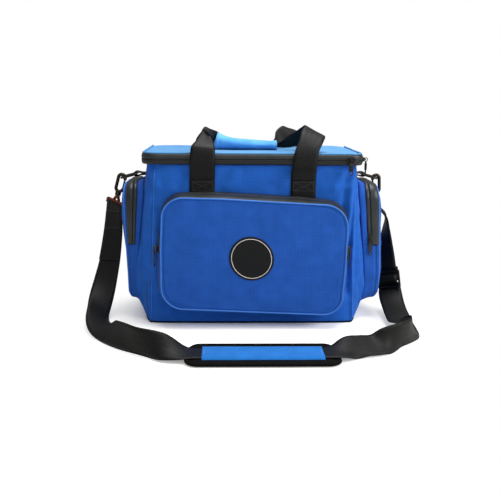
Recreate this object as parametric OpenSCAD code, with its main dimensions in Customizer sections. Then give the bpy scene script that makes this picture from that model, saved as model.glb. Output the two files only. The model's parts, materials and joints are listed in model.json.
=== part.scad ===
// Soft carrying bag with a hinged padded lid, a front pocket, two side
// pockets, paired webbing handles with a grip wrap, and a clip-on shoulder
// strap with a pad. Millimetres, +Z up, front towards -Y, origin on the
// floor under the middle of the base.

/* [Body] */
// Width of the front and rear panels between their seams
body_w = 394; // [380:2:410]
// Depth of the body at its corner seams
body_d = 230; // [220:2:240]
// Height of the body up to the lower edge of the lid zip
body_h = 314; // [308:1:320]
// How far the side panels swell past the corner seams, at most
side_swell = 34; // [20:1:38]
// Thickness of a padded wall
wall = 6; // [4:0.5:8]

/* [Lid] */
// Width of the lid over its zip band
lid_w = 420; // [412:2:424]
// Corner radius of the lid
lid_r = 24; // [20:1:30]
// Height of each half of the lid zip band
tape_h = 10; // [8:0.5:12]
// Rise of the lid's padding at its middle
lid_crown = 2.5; // [1:0.5:3]

/* [Front pocket] */
// Width of the front pocket's face
front_w = 354; // [340:2:360]
// Lower edge of the face above the floor
front_z0 = 35; // [32:1:45]
// Upper edge of the face above the floor
front_z1 = 253; // [245:1:255]
// How far the face stands off the body
front_t = 36; // [30:1:38]
// Radius of the patch on the face
patch_r = 43.5; // [35:0.5:46]

/* [Side pockets] */
// Width of a side pocket, front to rear
side_w = 150; // [130:2:160]
// Lower edge of a side pocket above the floor
side_z0 = 38; // [34:1:50]
// Upper edge of a side pocket above the floor
side_z1 = 270; // [260:1:272]

/* [Webbing] */
// Width of the handle and shoulder webbing
web_w = 48; // [38:1:50]
// Thickness of the webbing
web_t = 2; // [1.6:0.1:2.4]
// Length of the shoulder pad
pad_l = 266; // [240:2:280]
// Width of the shoulder pad
pad_w = 84; // [70:1:90]

/* [Hidden] */

BLUE = [0.16, 0.36, 0.70];
LIGHT = [0.36, 0.64, 0.92];
BLACK = [0.10, 0.10, 0.10];
RUBBER = [0.20, 0.21, 0.21];
METAL = [0.16, 0.14, 0.13];
PALE = [0.78, 0.72, 0.66];

hw = body_w / 2;
hd = body_d / 2;
gap = 0.3;
$fn = 32;

// ---------- helpers ----------

// Unit vector of v.
function unit(v) = v / norm(v);

// Twice the signed volume of triangle t over points p, summed by closed().
function six_volumes(p, tris) =
    [for (t = tris) p[t[0]] * cross(p[t[1]], p[t[2]])];

function sum(v) = v * [for (i = v) 1];

// A closed solid whose triangles are turned to face outwards.
module closed(points, tris) {
    inside_out = sum(six_volumes(points, tris)) > 0;
    polyhedron(points, inside_out ? [for (t = tris) [t[0], t[2], t[1]]] : tris);
}

// Two triangles over four point numbers.
function quad(a, b, c, d) = [[a, b, c], [a, c, d]];

// A wall between two grids of points, outer and inner, each a list of rows.
// wrapped joins the last column to the first.
module slab(outer, inner, wrapped = false) {
    rows = len(outer);
    cols = len(outer[0]);
    last = wrapped ? cols - 1 : cols - 2;
    function o(i, j) = i * cols + j % cols;
    function n(i, j) = rows * cols + o(i, j);
    points = [for (g = [outer, inner]) for (r = g) for (p = r) p];
    faces = [
        for (i = [0 : rows - 2]) for (j = [0 : last])
            each quad(o(i, j), o(i, j + 1), o(i + 1, j + 1), o(i + 1, j)),
        for (i = [0 : rows - 2]) for (j = [0 : last])
            each quad(n(i, j), n(i + 1, j), n(i + 1, j + 1), n(i, j + 1)),
        for (j = [0 : last]) each quad(o(0, j), n(0, j), n(0, j + 1), o(0, j + 1)),
        for (j = [0 : last])
            each quad(o(rows - 1, j), o(rows - 1, j + 1), n(rows - 1, j + 1), n(rows - 1, j)),
        if (!wrapped) for (i = [0 : rows - 2])
            each quad(o(i, 0), o(i + 1, 0), n(i + 1, 0), n(i, 0)),
        if (!wrapped) for (i = [0 : rows - 2])
            each quad(o(i, cols - 1), n(i, cols - 1), n(i + 1, cols - 1), o(i + 1, cols - 1))
    ];
    closed(points, faces);
}

// One value of a smooth curve through the list v, at place t from 0 to len - 1.
function smooth(v, t) =
    let (i = min(floor(t), len(v) - 2), u = t - i,
         a = v[max(i - 1, 0)], b = v[i], c = v[i + 1], d = v[min(i + 2, len(v) - 1)])
    ((2 * b) + (c - a) * u + (2 * a - 5 * b + 4 * c - d) * u * u
        + (3 * b - a - 3 * c + d) * u * u * u) / 2;

// A strap along stations [place, direction of its width, width, thickness].
module ribbon(stations, steps = 3) {
    count = (len(stations) - 1) * steps;
    at = [for (i = [0 : count]) smooth([for (s = stations) s[0]], i / steps)];
    across = [for (i = [0 : count]) smooth([for (s = stations) s[1]], i / steps)];
    width = [for (i = [0 : count]) smooth([for (s = stations) s[2]], i / steps)];
    thick = [for (i = [0 : count]) smooth([for (s = stations) s[3]], i / steps)];
    rings = [for (i = [0 : count])
        let (t = unit(at[min(i + 1, count)] - at[max(i - 1, 0)]),
             w = unit(across[i] - (across[i] * t) * t),
             n = cross(t, w) * thick[i] / 2, h = w * width[i] / 2)
        [[at[i] - h + n, at[i] + h + n], [at[i] - h - n, at[i] + h - n]]];
    slab([for (r = rings) r[0]], [for (r = rings) r[1]]);
}

// Stations of webbing at its own width and thickness.
function web(list, w = web_w, t = web_t) =
    [for (s = list) [s[0], s[1], is_undef(s[2]) ? w : s[2], is_undef(s[3]) ? t : s[3]]];

// Points of an arc from angle a to angle b, about c.
function arc(c, r, a, b, n = 6) =
    [for (i = [0 : n]) c + r * [cos(a + (b - a) * i / n), sin(a + (b - a) * i / n)]];

// The upper part of a rounded outline: up from the line v = low, over, and down.
function arch(half, low, top, r) = concat(
    [[-half, low]], [[-half, (low + top - r) / 2]],
    arc([-half + r, top - r], r, 180, 90), [[0, top]],
    arc([half - r, top - r], r, 90, 0), [[half, (low + top - r) / 2]], [[half, low]]);

// The lower part of a rounded outline, the same way round.
function cup(half, high, bottom, r) =
    [for (p = arch(half, -high, -bottom, r)) [p[0], -p[1]]];

// Sweeps a 2D outline, x outwards and y up, round three sides and both front
// corners of a rounded rectangle; rear is how far the side runs go to +Y.
module run_round(w, d, r, rear) {
    translate([w / 2 - r, -d / 2, 0]) rotate([90, 0, -90])
        linear_extrude(w - 2 * r) children();
    translate([-w / 2 + r, -d / 2 + r, 0]) rotate(180)
        rotate_extrude(angle = 90) translate([r, 0]) children();
    translate([w / 2 - r, -d / 2 + r, 0]) rotate(270)
        rotate_extrude(angle = 90) translate([r, 0]) children();
    translate([w / 2, -d / 2 + r, 0]) rotate([90, 0, 0]) mirror([0, 0, 1])
        linear_extrude(rear + d / 2 - r) children();
    translate([-w / 2, rear, 0]) rotate([90, 0, 180]) mirror([0, 0, 1])
        linear_extrude(rear + d / 2 - r) children();
}

// A plate with round corners, from z = 0 up to t.
module plate(w, d, r, t) {
    linear_extrude(t) {
        square([w - 2 * r, d], center = true);
        square([w, d - 2 * r], center = true);
        for (x = [-1, 1]) for (y = [-1, 1])
            translate([x * (w / 2 - r), y * (d / 2 - r)]) circle(r);
    }
}

// Turns a child that faces +Z, with its top to +Y, to face the front or a side.
module facing_front() { rotate([90, 0, 0]) children(); }
module facing_side(s) { rotate([90, 0, 90 * s]) children(); }

// ---------- body ----------

// How far a front corner seam sits behind the flat of the panel, at height z.
function corner_drop(z) = 5 + 10 * pow(z / body_h, 4);

// Swell of a side panel past its seams at height z.
function swell(z) = 12 + side_swell * sin(180 * pow(max(z, 0) / body_h, 0.4));

// The side panel's surface at depth y and height z, as a distance from the middle.
function side_x(y, z) =
    hw + swell(z) * (1 - pow(min(abs(y) / (hd - corner_drop(z)), 1), 3.5));

// The front panel's surface, as a distance in front of the middle.
function front_y(x, z) = hd - corner_drop(z) * pow(min(abs(x) / hw, 1), 9);

levels = [0, 0.05, 0.11, 0.2, 0.35, 0.5, 0.65, 0.8, 0.92, 1];
across_front = [-1, -0.97, -0.92, -0.8, -0.4, 0, 0.4, 0.8, 0.92, 0.97, 1];
along_side = [-1, -0.94, -0.82, -0.66, -0.4, 0, 0.4, 0.66, 0.82, 0.94, 1];
base_t = 4;

function height(level) = base_t + gap + level * (body_h - base_t - gap);

// The front wall, or the rear one with s = 1.
module end_wall(s) {
    function row(z, t) = [for (u = across_front)
        [u * (hw - t), s * (front_y(u * hw, z) - t), z]];
    slab([for (l = levels) row(height(l), 0)], [for (l = levels) row(height(l), wall)]);
}

// A side wall; s = -1 is the left one.
module side_wall(s) {
    function row(z, t) = let (half = hd - corner_drop(z)) [for (v = along_side)
        [s * (side_x(v * half, z) - t), v * (half - t), z]];
    slab([for (l = levels) row(height(l), 0)], [for (l = levels) row(height(l), wall)]);
}

module front_panel() { color(BLUE) end_wall(-1); }

// The rear wall, with the strip that the lid is sewn to.
module rear_panel() {
    color(BLUE) {
        end_wall(1);
        translate([-lid_w / 2 + lid_r, hinge_y - 3.5, body_h - 12])
            cube([lid_w - 2 * lid_r, 2.5, 12 + tape_h - gap]);
    }
}

module left_panel() { color(BLUE) side_wall(-1); }
module right_panel() { color(BLUE) side_wall(1); }

// The sewn bottom, as a flat plate whose outline follows the walls.
module base_panel() {
    half = hd - corner_drop(0);
    color(BLACK) linear_extrude(base_t) polygon(concat(
        [for (v = along_side) [side_x(v * half, 0), v * half]],
        [for (u = across_front) [-u * hw, front_y(u * hw, 0)]],
        [for (v = along_side) [-side_x(v * half, 0), -v * half]],
        [for (u = across_front) [u * hw, -front_y(u * hw, 0)]]));
}

// The loose stiffener that lies on the bottom inside the walls.
module base_board() {
    color(RUBBER) translate([0, 0, base_t + gap])
        plate(body_w - 2 * wall - 8, body_d - 2 * wall - 16, 12, 2.5);
}

// ---------- lid and its zip ----------

zip_z = body_h + tape_h;
lid_d = 2 * hd + 9;
hinge_y = lid_d / 2 + 1;
lid_t = 9;

// One half of the zip band in section, bulging outwards; flip for the lower half.
// ledge is how far its sewn edge reaches inwards.
module tape_section(h, ledge) {
    polygon([[-2.4, 0], [0.6, 0], [1.6, h * 0.3], [1.3, h * 0.65], [-0.2, h],
             [-ledge, h], [-ledge, h - 1.4], [-2.4, h - 1.4]]);
}

module lower_zip_tape() {
    color(RUBBER) translate([0, 0, zip_z]) run_round(lid_w, lid_d, lid_r, hd - 6)
        mirror([0, 1]) translate([0, gap / 2]) tape_section(tape_h - gap, 14);
}

module upper_zip_tape() {
    color(RUBBER) translate([0, 0, zip_z]) run_round(lid_w, lid_d, lid_r, hd - 6)
        translate([0, gap / 2]) tape_section(tape_h - gap, 3);
}

// The cord sewn between the band and the lid's top.
module lid_piping() {
    color(LIGHT) translate([0, 0, zip_z + tape_h + 1.2])
        run_round(lid_w, lid_d, lid_r, hd - 6) translate([-1.6, 0]) circle(1.2, $fn = 16);
}

// The padded top: a thin board of foam and cloth, puffed up a little.
module lid_panel() {
    low = zip_z + gap;
    rim = zip_z + tape_h - 0.6;
    base = concat(
        arc([lid_w / 2 - lid_r, lid_d / 2 - lid_r], lid_r - 4, 0, 90),
        [[lid_w * 0.2, lid_d / 2 - 4], [-lid_w * 0.2, lid_d / 2 - 4]],
        arc([-lid_w / 2 + lid_r, lid_d / 2 - lid_r], lid_r - 4, 90, 180),
        [[-lid_w / 2 + 4, 0]],
        arc([-lid_w / 2 + lid_r, -lid_d / 2 + lid_r], lid_r - 4, 180, 270),
        [[-lid_w * 0.2, -lid_d / 2 + 4], [lid_w * 0.2, -lid_d / 2 + 4]],
        arc([lid_w / 2 - lid_r, -lid_d / 2 + lid_r], lid_r - 4, 270, 360),
        [[lid_w / 2 - 4, 0]]);
    steps = [[1, 0], [0.985, 0.6], [0.93, 0.8], [0.6, 1], [0.02, 1]];
    function ring(k, z) = [for (p = base) [p[0] * k, p[1] * k, z]];
    color(LIGHT) slab(
        [for (s = steps) ring(s[0], rim + s[1] * (lid_crown + 0.6))],
        [for (s = steps) ring(s[0], rim - lid_t + (s[0] < 1 ? 0 : 0.2))], wrapped = true);
}

// ---------- front pocket ----------

front_r = 41;
front_zip_z = 142;
fold_z = 94;
front_out = hd + front_t;
cord_r = 2.2;
cloth = 2.4;

// Rings of the front gusset: [distance in front of the body, inset of the outline].
front_rows = [[0.3, -9], [6, -8.5], [15, -6.5], [15.4, -6.4], [26, -3], [front_t - 1, 0.4]];

function front_ring(row, part, t) = [for (p = part == "arch"
        ? arch(front_w / 2 - row[1] - t, front_zip_z, front_z1 - row[1] - t, front_r)
        : cup(front_w / 2 - row[1] - t, front_zip_z - gap, front_z0 + row[1] * 0.5 + t, front_r))
    [p[0], -hd - row[0] + (hd - front_y(p[0], p[1])) * (1 - row[0] / front_t), p[1]]];

// Part of the gusset between two of its rings.
module front_band(part, from, to) {
    slab([for (i = [from : to]) front_ring(front_rows[i], part, 0)],
         [for (i = [from : to]) front_ring(front_rows[i], part, cloth)]);
}

module front_gusset() { color(BLUE) front_band("cup", 0, 5); }
module front_inner_tape() { color(RUBBER) front_band("arch", 0, 2); }
module front_outer_tape() { color(RUBBER) front_band("arch", 3, 5); }

// The pocket's face inside its corded edge, cut at the fold; over keeps the upper part.
module front_face(over) {
    edge = cord_r + gap;
    facing_front() translate([0, 0, front_out - 1]) intersection() {
        translate([0, (front_z0 + front_z1) / 2, 0])
            plate(front_w - 2 * edge, front_z1 - front_z0 - 2 * edge, front_r - edge, cloth);
        translate([-front_w, over ? fold_z + gap : -1, -1])
            cube([2 * front_w, over ? front_z1 : fold_z + 1, cloth + 2]);
    }
}

module front_lower_face() { color(BLUE) front_face(false); }
module front_flap() { color(BLUE) front_face(true); }

// The corded edge of the face; over keeps the part above the fold.
module face_piping(over) {
    mid = over ? fold_z + gap : fold_z;
    long = over ? front_z1 - front_r - mid : mid - front_z0 - front_r;
    facing_front() translate([0, 0, front_out - 1 + cord_r + gap]) for (s = [-1, 1]) {
        translate([s * front_w / 2, over ? mid : mid - long, 0]) rotate([-90, 0, 0])
            cylinder(r = cord_r, h = long, $fn = 16);
        translate([s * (front_w / 2 - front_r), over ? front_z1 - front_r : front_z0 + front_r, 0])
            rotate(over ? (s > 0 ? 0 : 90) : (s > 0 ? 270 : 180))
                rotate_extrude(angle = 90, $fn = 48) translate([front_r, 0]) circle(cord_r, $fn = 16);
        translate([0, over ? front_z1 : front_z0, 0]) rotate([0, 90, 0])
            cylinder(r = cord_r, h = front_w - 2 * front_r, center = true, $fn = 16);
    }
}

module front_lower_piping() { color(LIGHT) face_piping(false); }
module front_flap_piping() { color(LIGHT) face_piping(true); }

patch_z = 142;
patch_y = front_out - 1 + cloth + 0.1;

module patch() {
    color(BLACK) translate([-3, -patch_y, patch_z]) facing_front() cylinder(r = patch_r, h = 2, $fn = 72);
}

module patch_ring() {
    color(PALE) translate([-3, -patch_y - 2.05, patch_z]) facing_front()
        rotate_extrude($fn = 72) translate([patch_r * 0.89, 0]) square([1.3, 0.5]);
}

// ---------- side pockets ----------

side_r = 34;
side_zip_z = 152;
side_half = side_w / 2;
side_out = 252;
side_crown = 3.5;

// Height of the outer face: it leans out a little towards the top.
function outer_x(y, z) = side_out - 6 + 6 * min(max(z - side_z0, 0) / 120, 1);

// Rings of a side pocket: [share of the way out, inset of the outline].
side_rows = [[0, -4], [0.27, -2.4], [0.28, -2.4], [0.5, -1], [0.51, -1], [0.74, 0.8],
             [0.75, 0.8], [0.93, 2.6], [1, 6]];

function side_ring(s, row, part, t) = [for (p = part == "arch"
        ? arch(side_half - row[1] - t, side_zip_z, side_z1 - row[1] - t, side_r)
        : cup(side_half - row[1] - t, side_zip_z - gap, side_z0 + row[1] + t, side_r))
    let (from = side_x(p[0], p[1]) + 0.4, to = outer_x(p[0], p[1]))
    [s * (from + row[0] * (to - from)), p[0], p[1]]];

module side_band(s, part, from, to) {
    slab([for (i = [from : to]) side_ring(s, side_rows[i], part, 0)],
         [for (i = [from : to]) side_ring(s, side_rows[i], part, cloth)]);
}

// The face of a side pocket, crowned, as rings that close on the fold line.
module side_face(s, part) {
    inner = [[1, 0], [0.8, 0.55], [0.5, 0.9], [0.02, 1]];
    fold = part == "arch" ? side_zip_z : side_zip_z - gap;
    function face_ring(k, t) = [for (p = side_ring(s, side_rows[8], part, 0))
        let (y = p[1] * k[0], z = fold + (p[2] - fold) * k[0])
        [p[0] + s * (side_crown * k[1] - t), y, z]];
    slab(concat([for (i = [6 : 7]) side_ring(s, side_rows[i], part, 0)],
                [for (k = inner) face_ring(k, 0)]),
         concat([for (i = [6 : 7]) side_ring(s, side_rows[i], part, cloth)],
                [for (k = inner) face_ring([k[0] * 0.96, k[1]], cloth)]));
}

module side_gusset(s) {
    color(BLUE) {
        side_band(s, "arch", 0, 1);
        side_band(s, "cup", 0, 5);
    }
}

module left_gusset() { side_gusset(-1); }
module right_gusset() { side_gusset(1); }
module left_inner_tape() { color(RUBBER) side_band(-1, "arch", 2, 3); }
module right_inner_tape() { color(RUBBER) side_band(1, "arch", 2, 3); }
module left_outer_tape() { color(RUBBER) side_band(-1, "arch", 4, 5); }
module right_outer_tape() { color(RUBBER) side_band(1, "arch", 4, 5); }
module left_lower_face() { color(BLUE) side_face(-1, "cup"); }
module right_lower_face() { color(BLUE) side_face(1, "cup"); }
module left_flap() { color(BLUE) side_face(-1, "arch"); }
module right_flap() { color(BLUE) side_face(1, "arch"); }

// ---------- handles ----------

leg_x = 96.5;
anchor_z = 266;
anchor_h = 18;
leg_y = hd + 1.4;

// The four sewn ends of the two handles, with the box of stitching on each.
module handle_anchors() {
    color(BLACK) for (x = [-1, 1]) for (y = [-1, 1])
        translate([x * leg_x - web_w / 2, y * leg_y - web_t / 2, anchor_z])
            cube([web_w, web_t, anchor_h]);
}

leg_z = anchor_z + anchor_h + 2 * gap;
grip_x0 = -74;
grip_x1 = 52;
grip_z0 = 355.5;
grip_z1 = 350;

// Stations of a handle from its left end to its right end; s = -1 is the front one.
function handle(s) = web([
    [[-leg_x, s * leg_y, leg_z], [1, 0, 0]],
    [[-leg_x, s * (leg_y + 4), 300], [1, 0, 0]],
    [[-leg_x, s * (hd + 13), 324], [1, 0, 0]],
    [[-95, s * (hd + 1), 346], [0.95, 0, -0.3]],
    [[-92, s * 85, 360], [0.78, 0, -0.62]],
    [[-88, s * 54, 366], [0.45, 0, -0.9], 44],
    [[-84, s * 22, 362], [0.15, 0, -1], 30],
    [[grip_x0, s * 5.5, grip_z0], [0, 0, -1], 18, 3],
    [[-10, s * 5, 353], [0, 0, -1], 15, 3],
    [[grip_x1, s * 5.5, grip_z1], [0, 0, -1], 12, 3],
    [[72, s * 16, 355], [0.25, s * 0.4, -0.9], 26],
    [[100, s * 40, 368], [0.65, s * 0.25, -0.7], 44],
    [[118, s * 62, 371], [0.85, s * 0.1, -0.5]],
    [[115, s * 88, 360], [0.93, 0, -0.35]],
    [[105, s * (hd + 1), 346], [0.98, 0, -0.15]],
    [[leg_x, s * (hd + 13), 324], [1, 0, 0]],
    [[leg_x, s * (leg_y + 4), 300], [1, 0, 0]],
    [[leg_x, s * leg_y, leg_z], [1, 0, 0]]]);

module front_handle() { color(BLACK) ribbon(handle(-1)); }
module rear_handle() { color(BLACK) ribbon(handle(1)); }

// The padded wrap that holds both handles together, flatter at its right end.
module grip_wrap() {
    count = 7;
    around = 16;
    function ring(i, t) = let (u = i / (count - 1), x = grip_x0 + 4 + u * (grip_x1 - grip_x0 - 4),
            tall = 16.6 - 4.6 * u - t, deep = 14.5 + 3 * sin(180 * u) - t,
            z = grip_z0 + u * (grip_z1 - grip_z0))
        [for (k = [0 : around - 1]) let (a = 360 * k / around)
            [x, deep * cos(a), z + tall * sin(a)]];
    color(LIGHT) slab([for (i = [0 : count - 1]) ring(i, 0)],
                      [for (i = [0 : count - 1]) ring(i, 2.6)], wrapped = true);
}

// ---------- shoulder strap hardware ----------

tab_half = 14;
tab_in = 3.1;
tab_out = 4.7;
ring_x = 234;
ring_z = 284;
ring_end_x = 264;
ring_end_z = 276;
ring_wire = 2.3;
ring_half = 17;
ring_tilt = atan2(ring_z - ring_end_z, ring_end_x - ring_x);
ring_reach = norm([ring_end_x - ring_x, ring_z - ring_end_z]);

// The right side's hardware sits further back and hangs closer to its pocket.
function hook_lean(s) = s < 0 ? 15 : 3;
function tab_y(s) = s < 0 ? 0 : 20;

// The webbing loops that hold the two rings on the side panels.
module ring_tabs() {
    color(BLACK) for (s = [-1, 1]) mirror([s < 0 ? 1 : 0, 0, 0]) translate([0, tab_y(s), 0]) {
        for (z = [-tab_out, tab_in]) translate([side_x(0, ring_z + z) + 0.6, -tab_half, ring_z + z])
            cube([ring_x - side_x(0, ring_z + z) - 0.6, 2 * tab_half, tab_out - tab_in]);
        translate([ring_x, tab_half, ring_z]) rotate([90, 0, 0])
            linear_extrude(2 * tab_half) difference() {
                circle(tab_out);
                circle(tab_in);
                translate([-2 * tab_out, -tab_out]) square(2 * tab_out);
            }
    }
}

// A ring with a straight bar on the hinge line and a round outer end.
module ring(s) {
    bend = 9;
    color(METAL) mirror([s < 0 ? 1 : 0, 0, 0]) translate([ring_x, tab_y(s), ring_z])
        rotate([0, ring_tilt, 0]) {
            translate([0, ring_half, 0]) rotate([90, 0, 0])
                cylinder(r = ring_wire, h = 2 * ring_half, $fn = 24);
            for (y = [-1, 1]) {
                translate([0, y * ring_half, 0]) sphere(ring_wire + 0.2, $fn = 24);
                translate([0, y * ring_half, 0]) rotate([0, 90, 0])
                    cylinder(r = ring_wire, h = ring_reach - bend, $fn = 24);
                translate([ring_reach - bend, y * (ring_half - bend), 0])
                    rotate(y > 0 ? 0 : 270) rotate_extrude(angle = 90, $fn = 48)
                        translate([bend, 0]) circle(ring_wire, $fn = 24);
            }
            translate([ring_reach, ring_half - bend, 0]) rotate([90, 0, 0])
                cylinder(r = ring_wire, h = 2 * (ring_half - bend), $fn = 24);
        }
}

module left_ring() { ring(-1); }
module right_ring() { ring(1); }

eye = 7;
wire = 3.4;
back_l = 23;
yoke_z = -41;
bar_z = -58;
bar_half = 27;
bar_r = 2;
gate_r = 2;
pin_z = -back_l + 2.6;
left_turn = 44;
right_turn = -102.7;

// A rod from point a to point b.
module rod(a, b, r) {
    d = b - a;
    translate(a) rotate([0, acos(d[2] / norm(d)), atan2(d[1], d[0])])
        cylinder(r = r, h = norm(d), $fn = 24);
}

// Places a child of a hook: s picks the side, the hook hangs from the ring's end.
module on_hook(s) {
    mirror([s < 0 ? 1 : 0, 0, 0]) translate([ring_end_x, tab_y(s), ring_end_z])
        rotate([0, -hook_lean(s), 0]) children();
}

// A snap hook: open eye, nose, shank, ears for the gate's pin and a swivel socket.
module hook(s) {
    color(METAL) on_hook(s) {
        translate([0, 0, -1]) rotate([90, 0, 0]) rotate_extrude(angle = 180, $fn = 48)
            translate([eye, 0]) circle(wire, $fn = 24);
        rod([eye, 0, -1], [eye, 0, -back_l], wire);
        rod([-eye, 0, -1], [-eye, 0, -4], wire);
        translate([0, 0, -back_l]) rotate([90, 0, 0]) rotate(180)
            rotate_extrude(angle = 180, $fn = 48) translate([eye, 0]) circle(wire, $fn = 24);
        for (y = [-1, 1]) translate([-eye - 1.7, y * 2.75 - 0.45, -back_l - 1]) cube([3.4, 0.9, 5.4]);
        translate([-eye, 3.2, pin_z]) rotate([90, 0, 0]) cylinder(r = 0.8, h = 6.4, $fn = 20);
        difference() {
            translate([0, 0, -38]) cylinder(r = 6, h = 8);
            translate([0, 0, -39]) cylinder(r = 2.4, h = 8);
            translate([0, 0, -36.4]) cylinder(r = 4, h = 5);
        }
    }
}

// The sprung gate: a knuckle on its pin and a rod up to the nose.
module gate(s) {
    color(METAL) on_hook(s) translate([-eye, 0, pin_z]) difference() {
        union() {
            translate([0, 2, 0]) rotate([90, 0, 0]) cylinder(r = gate_r, h = 4);
            cylinder(r = gate_r - 0.1, h = -4.4 - pin_z);
        }
        translate([0, 3, 0]) rotate([90, 0, 0]) cylinder(r = 0.9, h = 6, $fn = 20);
    }
}

// The swivelling loop: a headed stem, a neck and a cast frame with a round bar.
module yoke(s, turn) {
    low = bar_z - bar_r - 0.4;
    top = bar_z + bar_r + gap + web_t + 4.4;
    arch_r = yoke_z - top - 2.8;
    side = bar_half + 2.4;
    color(METAL) on_hook(s) rotate(turn) {
        translate([0, 0, -36]) cylinder(r = 3.6, h = 2.1);
        translate([0, 0, yoke_z]) cylinder(r = 2, h = 6);
        translate([0, 0, yoke_z - 1]) cylinder(r = 5.4, h = 2.4);
        translate([0, 2.4, 0]) rotate([90, 0, 0]) linear_extrude(4.8) difference() {
            union() {
                polygon([[-side, low], [-side, top - 2.5], [-side + 2.5, top], [side - 2.5, top],
                         [side, top - 2.5], [side, low]]);
                translate([0, top - 0.5]) circle(arch_r + 3.6, $fn = 48);
            }
            translate([-side + 4.8, low - 1]) square([2 * side - 9.6, top - 3 - low]);
            intersection() {
                translate([0, top - 0.5]) circle(arch_r, $fn = 48);
                translate([-side, top]) square(2 * side);
            }
        }
        rod([-bar_half, 0, bar_z], [bar_half, 0, bar_z], bar_r);
    }
}

module left_hook() { hook(-1); }
module right_hook() { hook(1); }
module left_gate() { gate(-1); }
module right_gate() { gate(1); }
module left_yoke() { yoke(-1, left_turn); }
module right_yoke() { yoke(1, right_turn); }

// ---------- shoulder strap ----------

pad_x = 12;
pad_y = -318;
pad_top = 9;
strap_z = pad_top + 1.3;
lap = 2.4;
wrap_r = bar_r + gap + web_t / 2 + 0.1;

// A direction and a point of a hook's frame, in the frame of the whole bag.
function hook_way(s, v) = [
    s * (v[0] * cos(hook_lean(s)) - v[2] * sin(hook_lean(s))), v[1],
    v[0] * sin(hook_lean(s)) + v[2] * cos(hook_lean(s))];
function hook_point(s, p) = [s * ring_end_x, tab_y(s), ring_end_z] + hook_way(s, p);

// Stations round a yoke's bar from angle a to b; 0 is one face, 90 the top, 180 the other.
function round_bar(s, turn, a, b, way) = [for (i = [0 : 4]) let (k = a + (b - a) * i / 4)
    [hook_point(s, [-sin(turn) * cos(k) * wrap_r, cos(turn) * cos(k) * wrap_r,
                    bar_z + sin(k) * wrap_r]),
     way * hook_way(s, [cos(turn), sin(turn), 0])]];

// Stations of a layer that lies d away from the strap with stations v.
function layer(v, d) = [for (i = [0 : len(v) - 1])
    let (t = unit(v[min(i + 1, len(v) - 1)][0] - v[max(i - 1, 0)][0]))
    [v[i][0] + d * unit(cross(t, v[i][1])), v[i][1]]];

// Both layers below the left hook, then the strap on to the pad.
left_double = [
    [[-282, -1, 204], [0.74, -0.67, -0.1]],
    [[-284, -6, 170], [0.82, -0.57, -0.05]],
    [[-287, -15, 138], [0.88, -0.47, 0]],
    [[-290.5, -26, 108], [0.92, -0.38, 0]]];
left_way = [
    [[-297, -48, 68], [0.94, -0.2, -0.15]],
    [[-302, -76, 38], [0.85, 0, -0.4]],
    [[-303, -104, 22], [0.8, 0.1, -0.55]],
    [[-298, -140, 14], [0.88, 0.2, -0.25]],
    [[-286, -178, 13], [0.86, 0.3, 0.2]],
    [[-266, -218, 18], [0.6, 0.35, 0.7]],
    [[-240, -258, 23], [0.3, 0.3, 0.9]],
    [[-208, -292, 25], [0.05, 0.1, 1]],
    [[-174, -312, 24], [0, 0.35, 0.95]],
    [[-146, -318, 18], [0, 0.8, 0.55]],
    [[-118, pad_y, strap_z + 0.7], [0, 1, 0.1]],
    [[-92, pad_y, strap_z], [0, 1, 0]],
    [[pad_x - 0.1, pad_y, strap_z], [0, 1, 0]]];

// The strap from the pad up to the adjuster, and both layers above it.
right_way = [
    [[pad_x + 0.1, pad_y, strap_z], [0, 1, 0]],
    [[92, pad_y, strap_z], [0, 1, 0]],
    [[118, pad_y, strap_z + 0.2], [0, 1, 0]],
    [[142, -315, 13], [0, 1, 0.2]],
    [[166, -306, 16], [-0.1, 0.8, 0.6]],
    [[190, -296, 16], [-0.1, 0.85, 0.5]],
    [[214, -288, 15], [0, 0.85, 0.5]],
    [[238, -280, 21], [0, 0.4, 0.9]],
    [[262, -265, 25], [0, 0, 1]],
    [[284, -243, 25], [0, 0, 1]],
    [[297, -216, 23], [-0.3, 0.05, 0.95]],
    [[295, -188, 16], [-0.85, -0.05, 0.5]],
    [[290, -152, 13], [-1, -0.05, 0.05]],
    [[291, -112, 17], [-1, 0, -0.05]],
    [[293, -76, 22], [-0.97, 0.2, 0]],
    [[294, -45, 32], [-0.9, 0.42, 0]]];
right_double = [
    [[286.5, -9.5, 95], [-0.74, 0.66, 0]],
    [[286, -2, 135], [-0.4, 0.91, 0]],
    [[287, 6, 170], [-0.05, 1, 0]],
    [[287, 13.5, 195], [0.18, 0.98, 0]],
    [[278.5, 18, 208], [0.22, 0.97, -0.05]],
    [[269.5, 19.7, 210.5], [0.22, 0.97, 0]]];

adjuster_at = [290.5, -15, 65];
adjuster_up = unit([-0.11, 0.2, 0.97]);
adjuster_out = unit(cross(adjuster_up, [-0.78, 0.62, 0]));
adjuster_across = cross(adjuster_up, adjuster_out);
slot_h = 16;

// A point of the adjuster's frame: v up along the strap, n out of its face.
function on_adjuster(v, n) = adjuster_at + v * adjuster_up + n * adjuster_out;
function adjuster_way(list) = [for (q = list) [on_adjuster(q[0], q[1]), -adjuster_across]];

function reversed(v) = [for (i = [len(v) - 1 : -1 : 0]) v[i]];

// From the sewn end, up and round the left yoke's bar, and down to the pad.
module strap_left() {
    color(BLACK) ribbon(web(concat(
        reversed(layer(left_double, lap / 2)),
        round_bar(-1, left_turn, 180, 0, -1),
        layer(left_double, -lap / 2), left_way)));
}

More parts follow.
